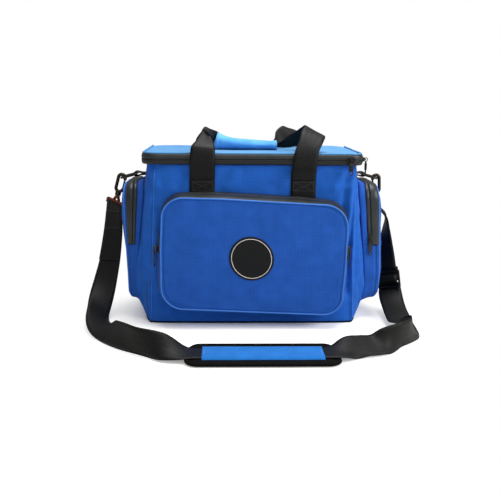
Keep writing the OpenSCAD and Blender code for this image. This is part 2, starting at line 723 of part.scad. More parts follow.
// From the pad over the adjuster's middle bar, round the right yoke's bar and
// back to a loop on that middle bar.
module strap_right() {
    color(BLACK) ribbon(web(concat(
        right_way,
        adjuster_way([[-slot_h, -4.4], [-8, 0.7], [0, 5.9], [8, 0.7], [slot_h, -4], [24, -3.8]]),
        layer(right_double, lap / 2),
        round_bar(1, right_turn, 180, 0, -1),
        layer(reversed(right_double), lap / 2),
        adjuster_way([[24, -6.2], [slot_h, -6.5], [7.5, -5], [0, -3.5], [-2.5, -2.5],
                      [-3.5, 0], [-2.5, 2.5], [0, 3.4], [4, 1.4]]))));
}

// A three-bar slide: two slots and a middle bar, all rounded.
module adjuster() {
    half = web_w / 2 + 3.2;
    color(METAL) multmatrix([
        [adjuster_across[0], adjuster_up[0], adjuster_out[0], adjuster_at[0]],
        [adjuster_across[1], adjuster_up[1], adjuster_out[1], adjuster_at[1]],
        [adjuster_across[2], adjuster_up[2], adjuster_out[2], adjuster_at[2]]]) {
        for (x = [-1, 1]) rod([x * half, -slot_h, 0], [x * half, slot_h, 0], 2.4);
        for (y = [-1, 0, 1]) rod([-half, y * slot_h, 0], [half, y * slot_h, 0], y == 0 ? 1.8 : 2.4);
        for (x = [-1, 1]) for (y = [-1, 1]) translate([x * half, y * slot_h, 0]) sphere(2.55, $fn = 24);
    }
}

// The foam pad: rounded ends, a low crown and a bound edge.
module shoulder_pad() {
    r = 24;
    lx = pad_l / 2;
    ly = pad_w / 2;
    base = concat(
        arc([lx - r, ly - r], r, 0, 90), [[0, ly]], arc([-lx + r, ly - r], r, 90, 180),
        arc([-lx + r, -ly + r], r, 180, 270), [[0, -ly]], arc([lx - r, -ly + r], r, 270, 360));
    steps = [[0, 0.2], [1.2, 5.2], [3.2, 7], [6, 7.4], [14, pad_top - 0.4], [30, pad_top]];
    function ring(t, z) = [for (p = base) [pad_x + p[0] * (1 - t / lx), pad_y + p[1] * (1 - t / ly), z]];
    rings = concat(steps, [[ly - 0.6, pad_top]]);
    color(BLACK) slab([for (s = rings) ring(s[0], s[1])],
                      [for (s = rings) ring(min(s[0] + 0.8, ly - 0.3), 0)], wrapped = true);
}

// The sleeve sewn along the pad that the strap runs through.
module pad_strip() {
    half = web_w / 2 + 0.6;
    color(LIGHT) translate([pad_x, pad_y, pad_top + 0.05]) difference() {
        plate(208, 2 * half + 6, 4, 4.3);
        translate([-110, -half, -1]) cube([220, 2 * half, 3.6]);
    }
}

// ---------- sliders and pulls ----------

slider_t = 3;
bail_z = slider_t + 2.6;
bail_w = 2.2;
bail_t = 1.2;
link_y = -2.8;
link_z = bail_z - 1.2;

// A zip slider lying on z = 0 with its nose to +Y, and the arch that holds its pull.
module slider() {
    color(METAL) {
        linear_extrude(slider_t) {
            translate([0, 3.4]) circle(4.6);
            polygon([[-4.6, 3.4], [-3.4, -7], [3.4, -7], [4.6, 3.4]]);
        }
        for (y = [-5, 5]) translate([-bail_w / 2, y - 1, slider_t])
            cube([bail_w, 2, bail_z - slider_t]);
        translate([-bail_w / 2, -6, bail_z]) cube([bail_w, 12, bail_t]);
    }
}

// The flat tongue of a pull from y = 0 down to its end ring.
module tongue() {
    translate([0, 0, -0.9]) linear_extrude(1.8)
        polygon([[-3.8, 0], [3.8, 0], [3.2, -14], [2.2, -18], [-2.2, -18], [-3.2, -14]]);
    translate([0, -21, 0]) rotate_extrude($fn = 32) translate([3.6, 0]) circle(0.8, $fn = 16);
}

// A pull that hangs to -Y from a rod under the slider's arch.
module pull() {
    color(METAL) translate([0, link_y, link_z]) {
        rotate([0, 90, 0]) cylinder(r = 0.9, h = 5.8, center = true, $fn = 20);
        for (x = [-1, 1]) {
            rod([x * 2.9, 0, 0], [x * 2.9, -7.5, 0], 0.9);
            translate([x * 2.9, 0, 0]) sphere(1, $fn = 20);
        }
        translate([0, -7, 0]) tongue();
    }
}

// A pull that hangs to -Y from a ring round the arch of a slider lying across it.
module level_pull() {
    color(METAL) translate([0, -0.5, bail_z + 1.7]) {
        rotate([0, 90, 0]) rotate_extrude($fn = 40) translate([3.3, 0]) circle(0.7, $fn = 16);
        translate([0, -3, 0]) tongue();
    }
}

lid_face = lid_d / 2 + 2;
lid_side = lid_w / 2 + 2;

// The places of the six sliders.
module at_lid_a() { translate([185, -lid_face, zip_z]) facing_front() children(); }
module at_lid_b() { translate([lid_side, -93, zip_z]) facing_side(1) children(); }
module at_front(s) { translate([s * 184, -hd - 15.2, 152]) facing_side(s) children(); }
module at_side(s, y) {
    translate([s * 238, y * (side_half + 2.1), 166]) rotate(y > 0 ? 180 : 0)
        facing_front() children();
}

module lid_slider_a() { at_lid_a() rotate(-90) slider(); }
module lid_pull_a() { at_lid_a() level_pull(); }
module lid_slider_b() { at_lid_b() rotate(90) slider(); }
module lid_pull_b() { at_lid_b() level_pull(); }
module front_slider_l() { at_front(-1) slider(); }
module front_pull_l() { at_front(-1) pull(); }
module front_slider_r() { at_front(1) slider(); }
module front_pull_r() { at_front(1) pull(); }
module left_slider() { at_side(-1, 1) slider(); }
module left_pull() { at_side(-1, 1) pull(); }
module right_slider() { at_side(1, -1) slider(); }
module right_pull() { at_side(1, -1) pull(); }

base_panel();
base_board();
front_panel();
rear_panel();
left_panel();
right_panel();
lower_zip_tape();
lid_panel();
upper_zip_tape();
lid_piping();
front_gusset();
front_inner_tape();
front_outer_tape();
front_lower_face();
front_flap();
front_lower_piping();
front_flap_piping();
patch();
patch_ring();
left_gusset();
left_inner_tape();
left_outer_tape();
left_lower_face();
left_flap();
right_gusset();
right_inner_tape();
right_outer_tape();
right_lower_face();
right_flap();
handle_anchors();
front_handle();
rear_handle();
grip_wrap();
ring_tabs();
left_ring();
right_ring();
left_hook();
right_hook();
left_gate();
right_gate();
left_yoke();
right_yoke();
strap_left();
strap_right();
adjuster();
shoulder_pad();
pad_strip();
lid_slider_a();
lid_pull_a();
lid_slider_b();
lid_pull_b();
front_slider_l();
front_pull_l();
front_slider_r();
front_pull_r();
left_slider();
left_pull();
right_slider();
right_pull();
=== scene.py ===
# %% [markdown]
# # A soft carrying bag with pockets and a clip-on shoulder strap
# The bag stands on a pale floor with its padded strap lying in front of it.
# Every cell makes one group of pieces, on or round the solids of the model.
# Points of pieces are in millimetres, and `mesh_object` turns them into metres.
# The camera, the lamps, the floor and the places of blends are in metres.

import json
import math

import bmesh
import bpy
import numpy as np
from mathutils import Matrix, Vector, noise

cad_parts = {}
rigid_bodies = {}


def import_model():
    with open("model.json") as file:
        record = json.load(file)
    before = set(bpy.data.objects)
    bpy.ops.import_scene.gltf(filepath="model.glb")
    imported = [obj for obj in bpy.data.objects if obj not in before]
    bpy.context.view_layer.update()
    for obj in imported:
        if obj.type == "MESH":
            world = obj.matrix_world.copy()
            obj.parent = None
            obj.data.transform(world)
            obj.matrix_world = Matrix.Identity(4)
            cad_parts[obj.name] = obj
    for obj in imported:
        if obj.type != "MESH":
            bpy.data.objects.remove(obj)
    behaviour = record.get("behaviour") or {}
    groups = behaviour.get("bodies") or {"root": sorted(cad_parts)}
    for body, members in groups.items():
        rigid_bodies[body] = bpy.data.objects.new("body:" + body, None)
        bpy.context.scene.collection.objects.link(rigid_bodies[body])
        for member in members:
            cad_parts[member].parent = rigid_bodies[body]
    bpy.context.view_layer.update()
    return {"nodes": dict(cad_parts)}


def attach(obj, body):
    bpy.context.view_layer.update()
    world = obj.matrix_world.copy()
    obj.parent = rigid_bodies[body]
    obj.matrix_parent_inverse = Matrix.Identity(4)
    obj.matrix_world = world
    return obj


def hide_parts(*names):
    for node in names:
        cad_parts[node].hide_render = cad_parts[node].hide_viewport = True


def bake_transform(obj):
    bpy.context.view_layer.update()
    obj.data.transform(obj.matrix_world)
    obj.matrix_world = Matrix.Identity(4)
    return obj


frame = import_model()

# %% [markdown]
# ## Camera
# The camera stands 1.5 m away, a little above the bag and turned slightly. It
# could be placed by eye in the viewport; three angles, a height and a distance
# give the same view on every run.

# %% Camera
SENSOR, FOCAL = 36, 727.6 / 500
YAW, TILT, ROLL = math.radians(2.09), math.radians(11.8), math.radians(0.58)
AWAY, HIGH = 1.5, 0.4376

forward = Vector((math.sin(YAW) * math.cos(TILT), math.cos(YAW) * math.cos(TILT), -math.sin(TILT)))
level = Vector((math.cos(YAW), -math.sin(YAW), 0))
upward = level.cross(forward)
right = math.cos(ROLL) * level + math.sin(ROLL) * upward
up = math.cos(ROLL) * upward - math.sin(ROLL) * level
camera_data = bpy.data.cameras.new("camera")
camera_data.sensor_width = SENSOR
camera_data.lens = SENSOR * FOCAL
camera = bpy.data.objects.new("camera", camera_data)
turn = Matrix((right, up, -forward)).transposed().to_4x4()
turn.translation = Vector((-AWAY * math.sin(YAW), -AWAY * math.cos(YAW), HIGH))
camera.matrix_world = turn
scene = bpy.context.scene
scene.collection.objects.link(camera)
scene.camera = camera
scene.view_settings.view_transform = "Standard"
print("camera:", round(camera_data.lens, 1), "mm lens,", AWAY, "m away")

# %% [markdown]
# ## Light
# Soft light from wide lamps shows the folds of cloth without hard shadows. A
# picture of a sky could light the bag too; three area lamps can be moved one by
# one and need no file.

# %% Lamps


def lamp(name, place, aim, size, watts, colour=(1, 1, 1)):
    """An area lamp at place that faces aim."""
    data = bpy.data.lights.new(name, "AREA")
    data.shape = "SQUARE"
    data.size, data.energy, data.color = size, watts, colour
    made = bpy.data.objects.new(name, data)
    made.location = place
    made.rotation_euler = (Vector(aim) - Vector(place)).to_track_quat("-Z", "Y").to_euler()
    scene.collection.objects.link(made)


lamp("top", (0.15, 0.1, 1.9), (0, 0, 0.2), 1.3, 38)
lamp("right", (1.7, -0.9, 1.2), (0, 0, 0.2), 1.1, 28)
lamp("front", (0.2, -2.4, 1.6), (0, 0, 0.15), 1.6, 10)
print("lamps:", len(bpy.data.lights))

# %% [markdown]
# The surrounding is white where the camera sees it, and dimmer as a light, so
# that the lamps still model the shapes. One background could not be both, so a
# Light Path node chooses between two.

# %% World


def node(tree, kind, inputs=(), **settings):
    """A node of this kind with its settings; each input gets a value or a socket to link."""
    made = tree.nodes.new(kind)
    for name, value in settings.items():
        setattr(made, name, value)
    for key, value in dict(inputs).items():
        if isinstance(value, bpy.types.NodeSocket):
            tree.links.new(value, made.inputs[key])
        else:
            made.inputs[key].default_value = value
    return made.outputs


def empty_tree(owner):
    """The node tree of a world or material, cleared."""
    owner.use_nodes = True
    owner.node_tree.nodes.clear()
    return owner.node_tree


scene.world = bpy.data.worlds.new("studio")
tree = empty_tree(scene.world)
ray = node(tree, "ShaderNodeLightPath")
either = node(tree, "ShaderNodeMath", {0: ray["Is Camera Ray"], 1: ray["Is Transmission Ray"]},
              operation="MAXIMUM")
ambient = node(tree, "ShaderNodeBackground", {"Color": (1, 1, 1, 1), "Strength": 0.3})
shown = node(tree, "ShaderNodeBackground", {"Color": (1, 1, 1, 1)})
mix = node(tree, "ShaderNodeMixShader", {0: either[0], 1: ambient[0], 2: shown[0]})
node(tree, "ShaderNodeOutputWorld", {"Surface": mix[0]})
print("world:", len(tree.nodes), "nodes")

# %% [markdown]
# ## Floor
# The floor is a plain pale sheet that turns white away from the bag. Paper
# curved up at the back would hide the edge as well; a flat sheet whose paint
# fades by distance does it with four corners.

# %% Floor
FADE_FROM, FADE_TO = 0.17, 0.45
floor_mesh = bpy.data.meshes.new("floor")
floor_mesh.from_pydata([(-9, -9, 0), (9, -9, 0), (9, 9, 0), (-9, 9, 0)], [], [(0, 1, 2, 3)])
floor = bpy.data.objects.new("floor", floor_mesh)
floor.location.z = -0.0004
scene.collection.objects.link(floor)
floor_paint = bpy.data.materials.new("floor")
tree = empty_tree(floor_paint)
place = node(tree, "ShaderNodeTexCoord")["Object"]
flatten = node(tree, "ShaderNodeMapping", {"Vector": place, "Location": (0, 0.1, 0), "Scale": (1.1, 1, 1)})
far = node(tree, "ShaderNodeVectorMath", {0: flatten["Vector"]}, operation="LENGTH")
fade = node(tree, "ShaderNodeMapRange", {"Value": far["Value"], "From Min": FADE_FROM, "From Max": FADE_TO},
            interpolation_type="SMOOTHSTEP")
ray = node(tree, "ShaderNodeLightPath")["Is Camera Ray"]
both = node(tree, "ShaderNodeMath", {0: fade["Result"], 1: ray}, operation="MULTIPLY")
lighter = node(tree, "ShaderNodeMix", {"Factor": ray, "A": (0.8, 0.79, 0.76, 1), "B": (1.3, 1.28, 1.21, 1)},
               data_type="RGBA")
matt = node(tree, "ShaderNodeBsdfDiffuse", {"Color": lighter["Result"]})
white = node(tree, "ShaderNodeEmission")
mix = node(tree, "ShaderNodeMixShader", {0: both[0], 1: matt[0], 2: white[0]})
node(tree, "ShaderNodeOutputMaterial", {"Surface": mix[0]})
floor_mesh.materials.append(floor_paint)
print("floor: fades between", FADE_FROM, "and", FADE_TO, "m")

# %% [markdown]
# ## Shape helpers
# Cloth has two sides and a thickness, so soft pieces are closed meshes built
# from points. Sculpting would be quicker to start; points from a rule can be
# changed later by one number, and the mesh stays closed.

# %% Meshes


def mesh_object(name, points, faces, uv=None):
    """A smooth closed mesh from points in millimetres, its normals turned outwards."""
    mesh = bpy.data.meshes.new(name)
    mesh.from_pydata((np.asarray(points, float) / 1000).tolist(), [], faces)
    if uv is not None:
        layer = mesh.uv_layers.new(name="UVMap")
        corner = np.empty(len(mesh.loops), np.int32)
        mesh.loops.foreach_get("vertex_index", corner)
        layer.data.foreach_set("uv", np.asarray(uv, np.float32)[corner].ravel())
    shape = bmesh.new()
    shape.from_mesh(mesh)
    bmesh.ops.recalc_face_normals(shape, faces=shape.faces)
    if shape.calc_volume(signed=True) < 0:
        bmesh.ops.reverse_faces(shape, faces=shape.faces)
    shape.to_mesh(mesh)
    shape.free()
    mesh.shade_smooth()
    made = bpy.data.objects.new(name, mesh)
    scene.collection.objects.link(made)
    return made


print("meshes so far:", len(bpy.data.meshes))

# %% [markdown]
# A grid of rows and columns becomes a wall with an outer and an inner face. Its
# columns may wrap round, and its last row may close to a pole, as on a padded
# panel. Solidify could add the thickness; two grids give it a shape as well.

# %% Closed shells


def shell_faces(rows, cols, wrap, pole):
    """Faces of a wall between an outer grid o and an inner grid n, each rows by cols points."""
    across = cols if wrap else cols - 1

    def o(i, j):
        return i * cols + j % cols

    def n(i, j):
        return rows * cols + i * cols + j % cols

    faces = []
    for i in range(rows - 1):
        for j in range(across):
            faces.append((o(i, j), o(i, j + 1), o(i + 1, j + 1), o(i + 1, j)))
            faces.append((n(i, j), n(i + 1, j), n(i + 1, j + 1), n(i, j + 1)))
    for j in range(across):
        faces.append((o(0, j), n(0, j), n(0, j + 1), o(0, j + 1)))
        if pole:
            faces.append((o(rows - 1, j), o(rows - 1, j + 1), 2 * rows * cols))
            faces.append((n(rows - 1, j + 1), n(rows - 1, j), 2 * rows * cols + 1))
        else:
            faces.append((o(rows - 1, j), o(rows - 1, j + 1), n(rows - 1, j + 1), n(rows - 1, j)))
    if not wrap:
        for i in range(rows - 1):
            faces.append((o(i, 0), o(i + 1, 0), n(i + 1, 0), n(i, 0)))
            faces.append((o(i, cols - 1), n(i, cols - 1), n(i + 1, cols - 1), o(i + 1, cols - 1)))
    return faces


def shell(name, outer, inner, wrap=False, pole=False):
    """A closed wall between two grids of rows by columns; a pole closes both last rows to a point."""
    outer, inner = np.asarray(outer, float), np.asarray(inner, float)
    rows, cols = outer.shape[:2]
    parts = [outer.reshape(-1, 3), inner.reshape(-1, 3)]
    if pole:
        parts += [outer[-1].mean(0, keepdims=True), inner[-1].mean(0, keepdims=True)]
    return mesh_object(name, np.concatenate(parts), shell_faces(rows, cols, wrap, pole))


print("a wall of 3 by 4 points:", len(shell_faces(3, 4, False, False)), "faces")

# %% [markdown]
# Piping, bindings and seams are round cords. A curve with a bevel would give
# the same tube; a circle swept along the points is a plain mesh from the start.

# %% Tubes


def unit_rows(v):
    """Each row at length 1."""
    return v / np.linalg.norm(v, axis=1)[:, None]


def tube(name, path, radius, closed=False, sides=10):
    """A round cord along path, an array of points."""
    path = np.asarray(path, float)
    if closed:
        along = np.roll(path, -1, 0) - np.roll(path, 1, 0)
    else:
        along = np.gradient(path, axis=0)
    along = unit_rows(along)
    side = np.cross(along[0], (0.3, 0.2, 0.93))
    rings = []
    for p, t in zip(path, along):
        side = side - side.dot(t) * t
        side /= np.linalg.norm(side)
        other = np.cross(t, side)
        a = np.linspace(0, 2 * math.pi, sides, endpoint=False)[:, None]
        rings.append(p + radius * (np.cos(a) * side + np.sin(a) * other))
    count = len(path)
    faces = [
        (i * sides + j, i * sides + (j + 1) % sides,
         (i + 1) % count * sides + (j + 1) % sides, (i + 1) % count * sides + j)
        for i in range(count if closed else count - 1) for j in range(sides)
    ]
    if not closed:
        faces += [tuple(range(sides)), tuple(range((count - 1) * sides, count * sides))]
    return mesh_object(name, np.concatenate(rings), faces)


print("unit_rows turns (3, 4) into", unit_rows(np.array([[3.0, 4.0]]))[0].tolist())

# %% [markdown]
# Sewn outlines are straight runs with round corners, and cloth never lies quite
# smooth. Outlines could be drawn as curves; arcs and lines with a few named
# sizes are easier to fit, and smooth noise adds the unevenness.

# %% Outlines and unevenness


def rough(points, scale, amount, seed=0.0):
    """Smooth noise at each point, about -amount to amount, over lumps of size scale."""
    shift = Vector((seed * 13.7, seed * 5.1, seed * 9.3))
    flat = np.asarray(points, float).reshape(-1, 3) / np.asarray(scale, float)
    found = np.array([noise.noise(Vector(p) + shift) for p in flat])
    return amount * found.reshape(np.asarray(points).shape[:-1])


def arc(centre, radius, start, stop, count=10):
    """Points of an arc in a plane, from angle start to stop in degrees."""
    a = np.radians(np.linspace(start, stop, count + 1))
    return np.stack([centre[0] + radius * np.cos(a), centre[1] + radius * np.sin(a)], 1)


def fixed_count(points, count):
    """The same polyline with exactly count points."""
    length = np.concatenate([[0], np.cumsum(np.linalg.norm(np.diff(points, axis=0), axis=1))])
    at = np.linspace(0, length[-1], count)
    return np.stack([np.interp(at, length, points[:, k]) for k in range(points.shape[1])], 1)


def spaced(points, step):
    """The same polyline with a point about every step."""
    points = np.asarray(points, float)
    length = np.cumsum(np.linalg.norm(np.diff(points, axis=0), axis=1))[-1]
    return fixed_count(points, max(2, round(length / step) + 1))


def at_height(flat, z):
    """The points of an outline at height z."""
    return np.column_stack([flat, np.full(len(flat), z)])


def arch(half, low, top, r, step=4):
    """The upper part of a rounded outline: up from low, over and down."""
    whole = np.concatenate([[[-half, low]], arc((-half + r, top - r), r, 180, 90),
                            arc((half - r, top - r), r, 90, 0), [[half, low]]])
    return whole if step is None else spaced(whole, step)


def cup(half, high, bottom, r, step=4):
    """The lower part of a rounded outline, the same way round."""
    return arch(half, -high, -bottom, r, step) * (1, -1)


def rounded(half_w, half_d, r, step=4):
    """A closed rounded rectangle about the origin, anticlockwise from the right."""
    corners = [arc((sx * (half_w - r), sy * (half_d - r)), r, a, a + 90)
               for sx, sy, a in ((1, -1, 270), (1, 1, 0), (-1, 1, 90), (-1, -1, 180))]
    whole = np.concatenate(corners + [corners[0][:1]])
    return spaced(whole, step)[:-1]


print("a rounded square of 100 mm:", len(rounded(50, 50, 10)), "points")

# %% [markdown]
# ## Webbing
# Woven webbing bends along its length but keeps its width, so a row of stations
# describes it: a place and the way its width points. A curve with a flat bevel
# twists as it likes; the stations say how the strap turns.

# %% Stations along a strip
WEB_W, WEB_T = 48, 2


def unit(v):
    """v at length 1."""
    v = np.asarray(v, float)
    return v / np.linalg.norm(v)


def eased(values, t):
    """One value of a smooth curve through values, at place t from 0 to len - 1."""
    i = min(int(t), len(values) - 2)
    u = t - i
    a, b = values[max(i - 1, 0)], values[i]
    c, d = values[i + 1], values[min(i + 2, len(values) - 1)]
    return (2 * b + (c - a) * u + (2 * a - 5 * b + 4 * c - d) * u * u
            + (3 * b - a - 3 * c + d) * u ** 3) / 2


def stations(items):
    """Rows of (place, width direction, width, thickness) from short ones."""
    return [(np.array(s[0], float), np.array(s[1], float),
             float(s[2]) if len(s) > 2 else WEB_W, float(s[3]) if len(s) > 3 else WEB_T)
            for s in items]


def strip_rings(items, steps=8):
    """Frames along a strip: centre, width direction, normal, width, thickness."""
    rows = stations(items)
    last = (len(rows) - 1) * steps
    cols = [[r[k] for r in rows] for k in range(4)]
    at, across, wide, thick = ([eased(c, i / steps) for i in range(last + 1)] for c in cols)
    rings = []
    for i in range(last + 1):
        t = unit(at[min(i + 1, last)] - at[max(i - 1, 0)])
        w = unit(across[i] - across[i].dot(t) * t)
        rings.append((at[i], w, np.cross(t, w), wide[i], thick[i]))
    return rings


print("webbing:", WEB_W, "x", WEB_T, "mm")

# %% [markdown]
# A strip is a flat tube round the stations, thinner at its two woven edges. It
# carries its own UVs, width across and length along, because a pattern on the
# object's axes would not follow the bends.

# %% Strips


def strip(name, runs):
    """Webbing along one or more lists of rings, with soft edges and its own UVs."""
    u = np.linspace(-1, 1, 9)
    faces, points, uvs = [], [], []
    for rings in runs:
        base, way = len(points), 0.0
        cols = 2 * len(u)
        for i, (c, w, n, wide, thick) in enumerate(rings):
            if i:
                way += np.linalg.norm(c - rings[i - 1][0])
            half = thick / 2 * np.sqrt(1 - 0.75 * np.abs(u) ** 12)
            for k in range(len(u)):
                points.append(c + w * u[k] * wide / 2 + n * half[k])
                uvs.append((u[k] * wide / 2000, way / 1000))
            for k in reversed(range(len(u))):
                points.append(c + w * u[k] * wide / 2 - n * half[k])
                uvs.append((u[k] * wide / 2000, way / 1000))
        for i in range(len(rings) - 1):
            for j in range(cols):
                a, b = base + i * cols, base + (i + 1) * cols
                faces.append((a + j, a + (j + 1) % cols, b + (j + 1) % cols, b + j))
        faces.append(tuple(range(base, base + cols)))
        end = base + (len(rings) - 1) * cols
        faces.append(tuple(range(end, end + cols)))
    return mesh_object(name, points, faces, uvs)


# %% [markdown]
# ## Materials
# Every finish is one shader: a colour, or two that mingle softly, and a bump
# where the surface has a grain. Pictures of cloth would be finer; noise and
# waves need no file and never show a tile.

# %% Finishes


def srgb(r, g, b):
    """A display colour, 0 to 255, as linear light."""
    return tuple((c / 255 / 12.92 if c <= 10 else ((c / 255 + 0.055) / 1.055) ** 2.4)
                 for c in (r, g, b)) + (1.0,)


def plain(name, colour, roughness, metallic=0.0, sheen=0.0, gloss=0.5):
    """A material of one colour; returns it with its node tree and shader."""
    made = bpy.data.materials.new(name)
    made.use_nodes = True
    shader = made.node_tree.nodes["Principled BSDF"]
    shader.inputs["Base Color"].default_value = colour
    shader.inputs["Roughness"].default_value = roughness
    shader.inputs["Metallic"].default_value = metallic
    shader.inputs["Sheen Weight"].default_value = sheen
    shader.inputs["Specular IOR Level"].default_value = gloss
    return made, made.node_tree, shader


def link_bump(tree, shader, height, strength, distance):
    """Feeds a height into the shader as a bump."""
    bump = node(tree, "ShaderNodeBump", {"Strength": strength, "Distance": distance, "Height": height})
    tree.links.new(bump["Normal"], shader.inputs["Normal"])


def mottle(tree, shader, dark, light, where, scale, detail=3):
    """Varies the base colour between dark and light by noise, and returns the noise."""
    spots = node(tree, "ShaderNodeTexNoise", {"Scale": scale, "Detail": detail, "Vector": where})["Fac"]
    ramp = tree.nodes.new("ShaderNodeValToRGB")
    low, high = ramp.color_ramp.elements
    low.position, low.color = 0.3, dark
    high.position, high.color = 0.7, light
    tree.links.new(spots, ramp.inputs["Fac"])
    tree.links.new(ramp.outputs["Color"], shader.inputs["Base Color"])
    return spots


print("mid grey as linear light:", round(srgb(128, 128, 128)[0], 3))

# %% [markdown]
# The cloth is a fine plain weave and the webbing is ribbed. Noise alone would
# look like plaster, so crossed waves give the threads: along the object's axes
# on cloth, and along the strip's own UVs on webbing.

# %% Cloth and webbing
WEAVE, RIBS = 45, {"X": 170 / 6, "Y": 340 / 6}
THREAD_DEEP = 0.0003


def waves(tree, where, scales, **more):
    """The sum of one set of waves along each direction."""
    total = None
    for direction, scale in scales.items():
        wave = node(tree, "ShaderNodeTexWave", {"Scale": scale, "Vector": where, **more},
                    bands_direction=direction)
        if total is None:
            total = wave["Fac"]
        else:
            total = node(tree, "ShaderNodeMath", {0: total, 1: wave["Fac"]}, operation="ADD")[0]
    return total


def cloth(name, dark, light, sheen=0.05, gloss=0.15):
    """A woven cloth whose threads run along the object's axes."""
    made, tree, shader = plain(name, light, 0.82, sheen=sheen, gloss=gloss)
    where = node(tree, "ShaderNodeTexCoord")["Object"]
    mottle(tree, shader, dark, light, where, 42, 6)
    threads = waves(tree, where, dict.fromkeys("XYZ", WEAVE), Distortion=1.2, Detail=2)
    link_bump(tree, shader, threads, 0.25, THREAD_DEEP)
    return made


def ribbed(name, dark, light):
    """Webbing: ribs along its length and a fine weave across, by its UVs."""
    made, tree, shader = plain(name, light, 0.55, gloss=0.22)
    where = node(tree, "ShaderNodeUVMap", uv_map="UVMap")["UV"]
    mottle(tree, shader, dark, light, where, 160, 4)
    link_bump(tree, shader, waves(tree, where, RIBS), 0.35, THREAD_DEEP)
    return made


print("weave:", WEAVE, "ribs:", RIBS)

# %% [markdown]
# The bag is sewn from deep and lighter blues, with black webbing and foam, a grey coated zip band, and black
# metal with a warm gleam. Some colours carry painted light: the body's blue is painted lighter than the same
# cloth on the pockets, the lid's light blue is made paler with a painted sheen, the bag's half of the lid's
# band is painted darker as painted shade, and the yokes are painted orange-brown as a painted warm
# reflection. The colours could sit with their pieces; side by side they are easier to compare and to change.

# %% Palette
BLUE = cloth("cloth_blue", srgb(28, 80, 165), srgb(34, 88, 180))
# The same blue cloth as BLUE, painted lighter on the body as painted light.
LIT_BODY_BLUE = cloth("cloth_body_painted_light", srgb(29, 90, 181), srgb(34, 101, 198))
# The light-blue cloth of the lid: its own lighter blue, made paler and lighter still as a painted sheen of
# the lid's top.
LIGHT_AND_SHEEN = cloth("cloth_light_and_painted_sheen", srgb(68, 134, 188), srgb(84, 148, 200), sheen=0.1, gloss=0.3)
GRIP = cloth("cloth_grip", srgb(74, 150, 220), srgb(96, 174, 238), sheen=0.1, gloss=0.3)
STRIP = cloth("cloth_strip", srgb(22, 100, 176), srgb(28, 110, 190))
EDGE = plain("cloth_edge", srgb(50, 118, 208), 0.6)[0]
WEBBING = ribbed("webbing", srgb(7, 7, 7), srgb(15, 15, 15))
FOAM = cloth("foam_cloth", srgb(5, 5, 5), srgb(10, 10, 10), sheen=0, gloss=0.08)
THREAD = plain("thread", srgb(64, 64, 64), 0.6)[0]
GRIP_THREAD = plain("grip_thread", srgb(170, 205, 240), 0.6)[0]
BLUE_THREAD = plain("blue_thread", srgb(110, 165, 232), 0.6)[0]
BAND, band_tree, band_shader = plain("zip_band", srgb(38, 41, 42), 0.36, gloss=0.4)
band_where = node(band_tree, "ShaderNodeTexCoord")["Object"]
spots = mottle(band_tree, band_shader, srgb(32, 35, 36), srgb(44, 47, 48), band_where, 30)
link_bump(band_tree, band_shader, spots, 0.1, 0.002)
# The bag's half of the lid's band: the same coated tape, painted darker as painted shade.
SHADED_LOWER_BAND = plain("zip_band_painted_shade", srgb(20, 22, 23), 0.42, gloss=0.35)[0]
METAL, _, metal_shader = plain("black_metal", srgb(14, 13, 13), 0.22)
metal_shader.inputs["Specular Tint"].default_value = (1.0, 0.78, 0.6, 1)
metal_shader.inputs["Specular IOR Level"].default_value = 0.6
RUBBER = plain("rubber", srgb(12, 12, 12), 0.5, gloss=0.4)[0]
ZIP_METAL = plain("zip_metal", srgb(10, 10, 11), 0.3, gloss=0.5)[0]
# Black metal of the yokes painted orange-brown, a painted warm reflection.
WARM_GLINT_METAL = plain("yoke_painted_glint", srgb(128, 66, 34), 0.35, metallic=0.8)[0]
TEETH = plain("zip_teeth", srgb(24, 24, 24), 0.35)[0]
PATCH = plain("patch", srgb(14, 15, 17), 0.5, gloss=0.2)[0]
LINE = plain("patch_line", srgb(220, 214, 208), 0.5)[0]
BOARD = plain("board", srgb(40, 40, 40), 0.7)[0]
print("materials:", len(bpy.data.materials))

# %% [markdown]
# Every piece needs a material, a body to ride on, and the names of the solids it stands for. These calls by
# hand are easy to forget, so one function makes them. Metal parts keep their solids and only change their
# paint.

# %% Finishing a piece


def finish_piece(made, paint, body, slot, *nodes):
    """Gives a piece its material and its body, and hides the CAD nodes it stands for; slot is not used."""
    made.data.materials.clear()
    made.data.materials.append(paint)
    if body is not None:
        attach(made, body)
    if nodes:
        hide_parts(*nodes)
    return made


def repaint(paint, *names):
    """A CAD node keeps its shape and gets another material."""
    for name in names:
        for place in frame["nodes"][name].material_slots:
            place.link = "OBJECT"
            place.material = paint


print("solids a piece may stand for:", len(frame["nodes"]))

# %% [markdown]
# ## The shoulder strap
# The strap is clipped to the bag by a hook on either side, and sewn round the bar of each hook's yoke. It
# could be one mesh; it is cut where it passes from one moving part to the next.

# %% The strap at its hooks
RING_END_X, RING_END_Z = 264, 276
BAR_Z, BAR_R, CLEAR, LAP = -58, 2, 0.3, 2.4
WRAP_R = BAR_R + CLEAR + WEB_T / 2 + 0.1
PAD_X, PAD_Y, PAD_TOP = 12, -318, 9
STRAP_Z = PAD_TOP + 1.3


def tab_y(s):
    """How far behind the middle the hardware of side s sits."""
    return 0 if s < 0 else 20


def hook_way(s, v):
    """A direction of the hook's frame on side s, in the bag's frame."""
    lean = math.radians(15 if s < 0 else 3)
    return np.array([s * (v[0] * math.cos(lean) - v[2] * math.sin(lean)), v[1],
                     v[0] * math.sin(lean) + v[2] * math.cos(lean)])


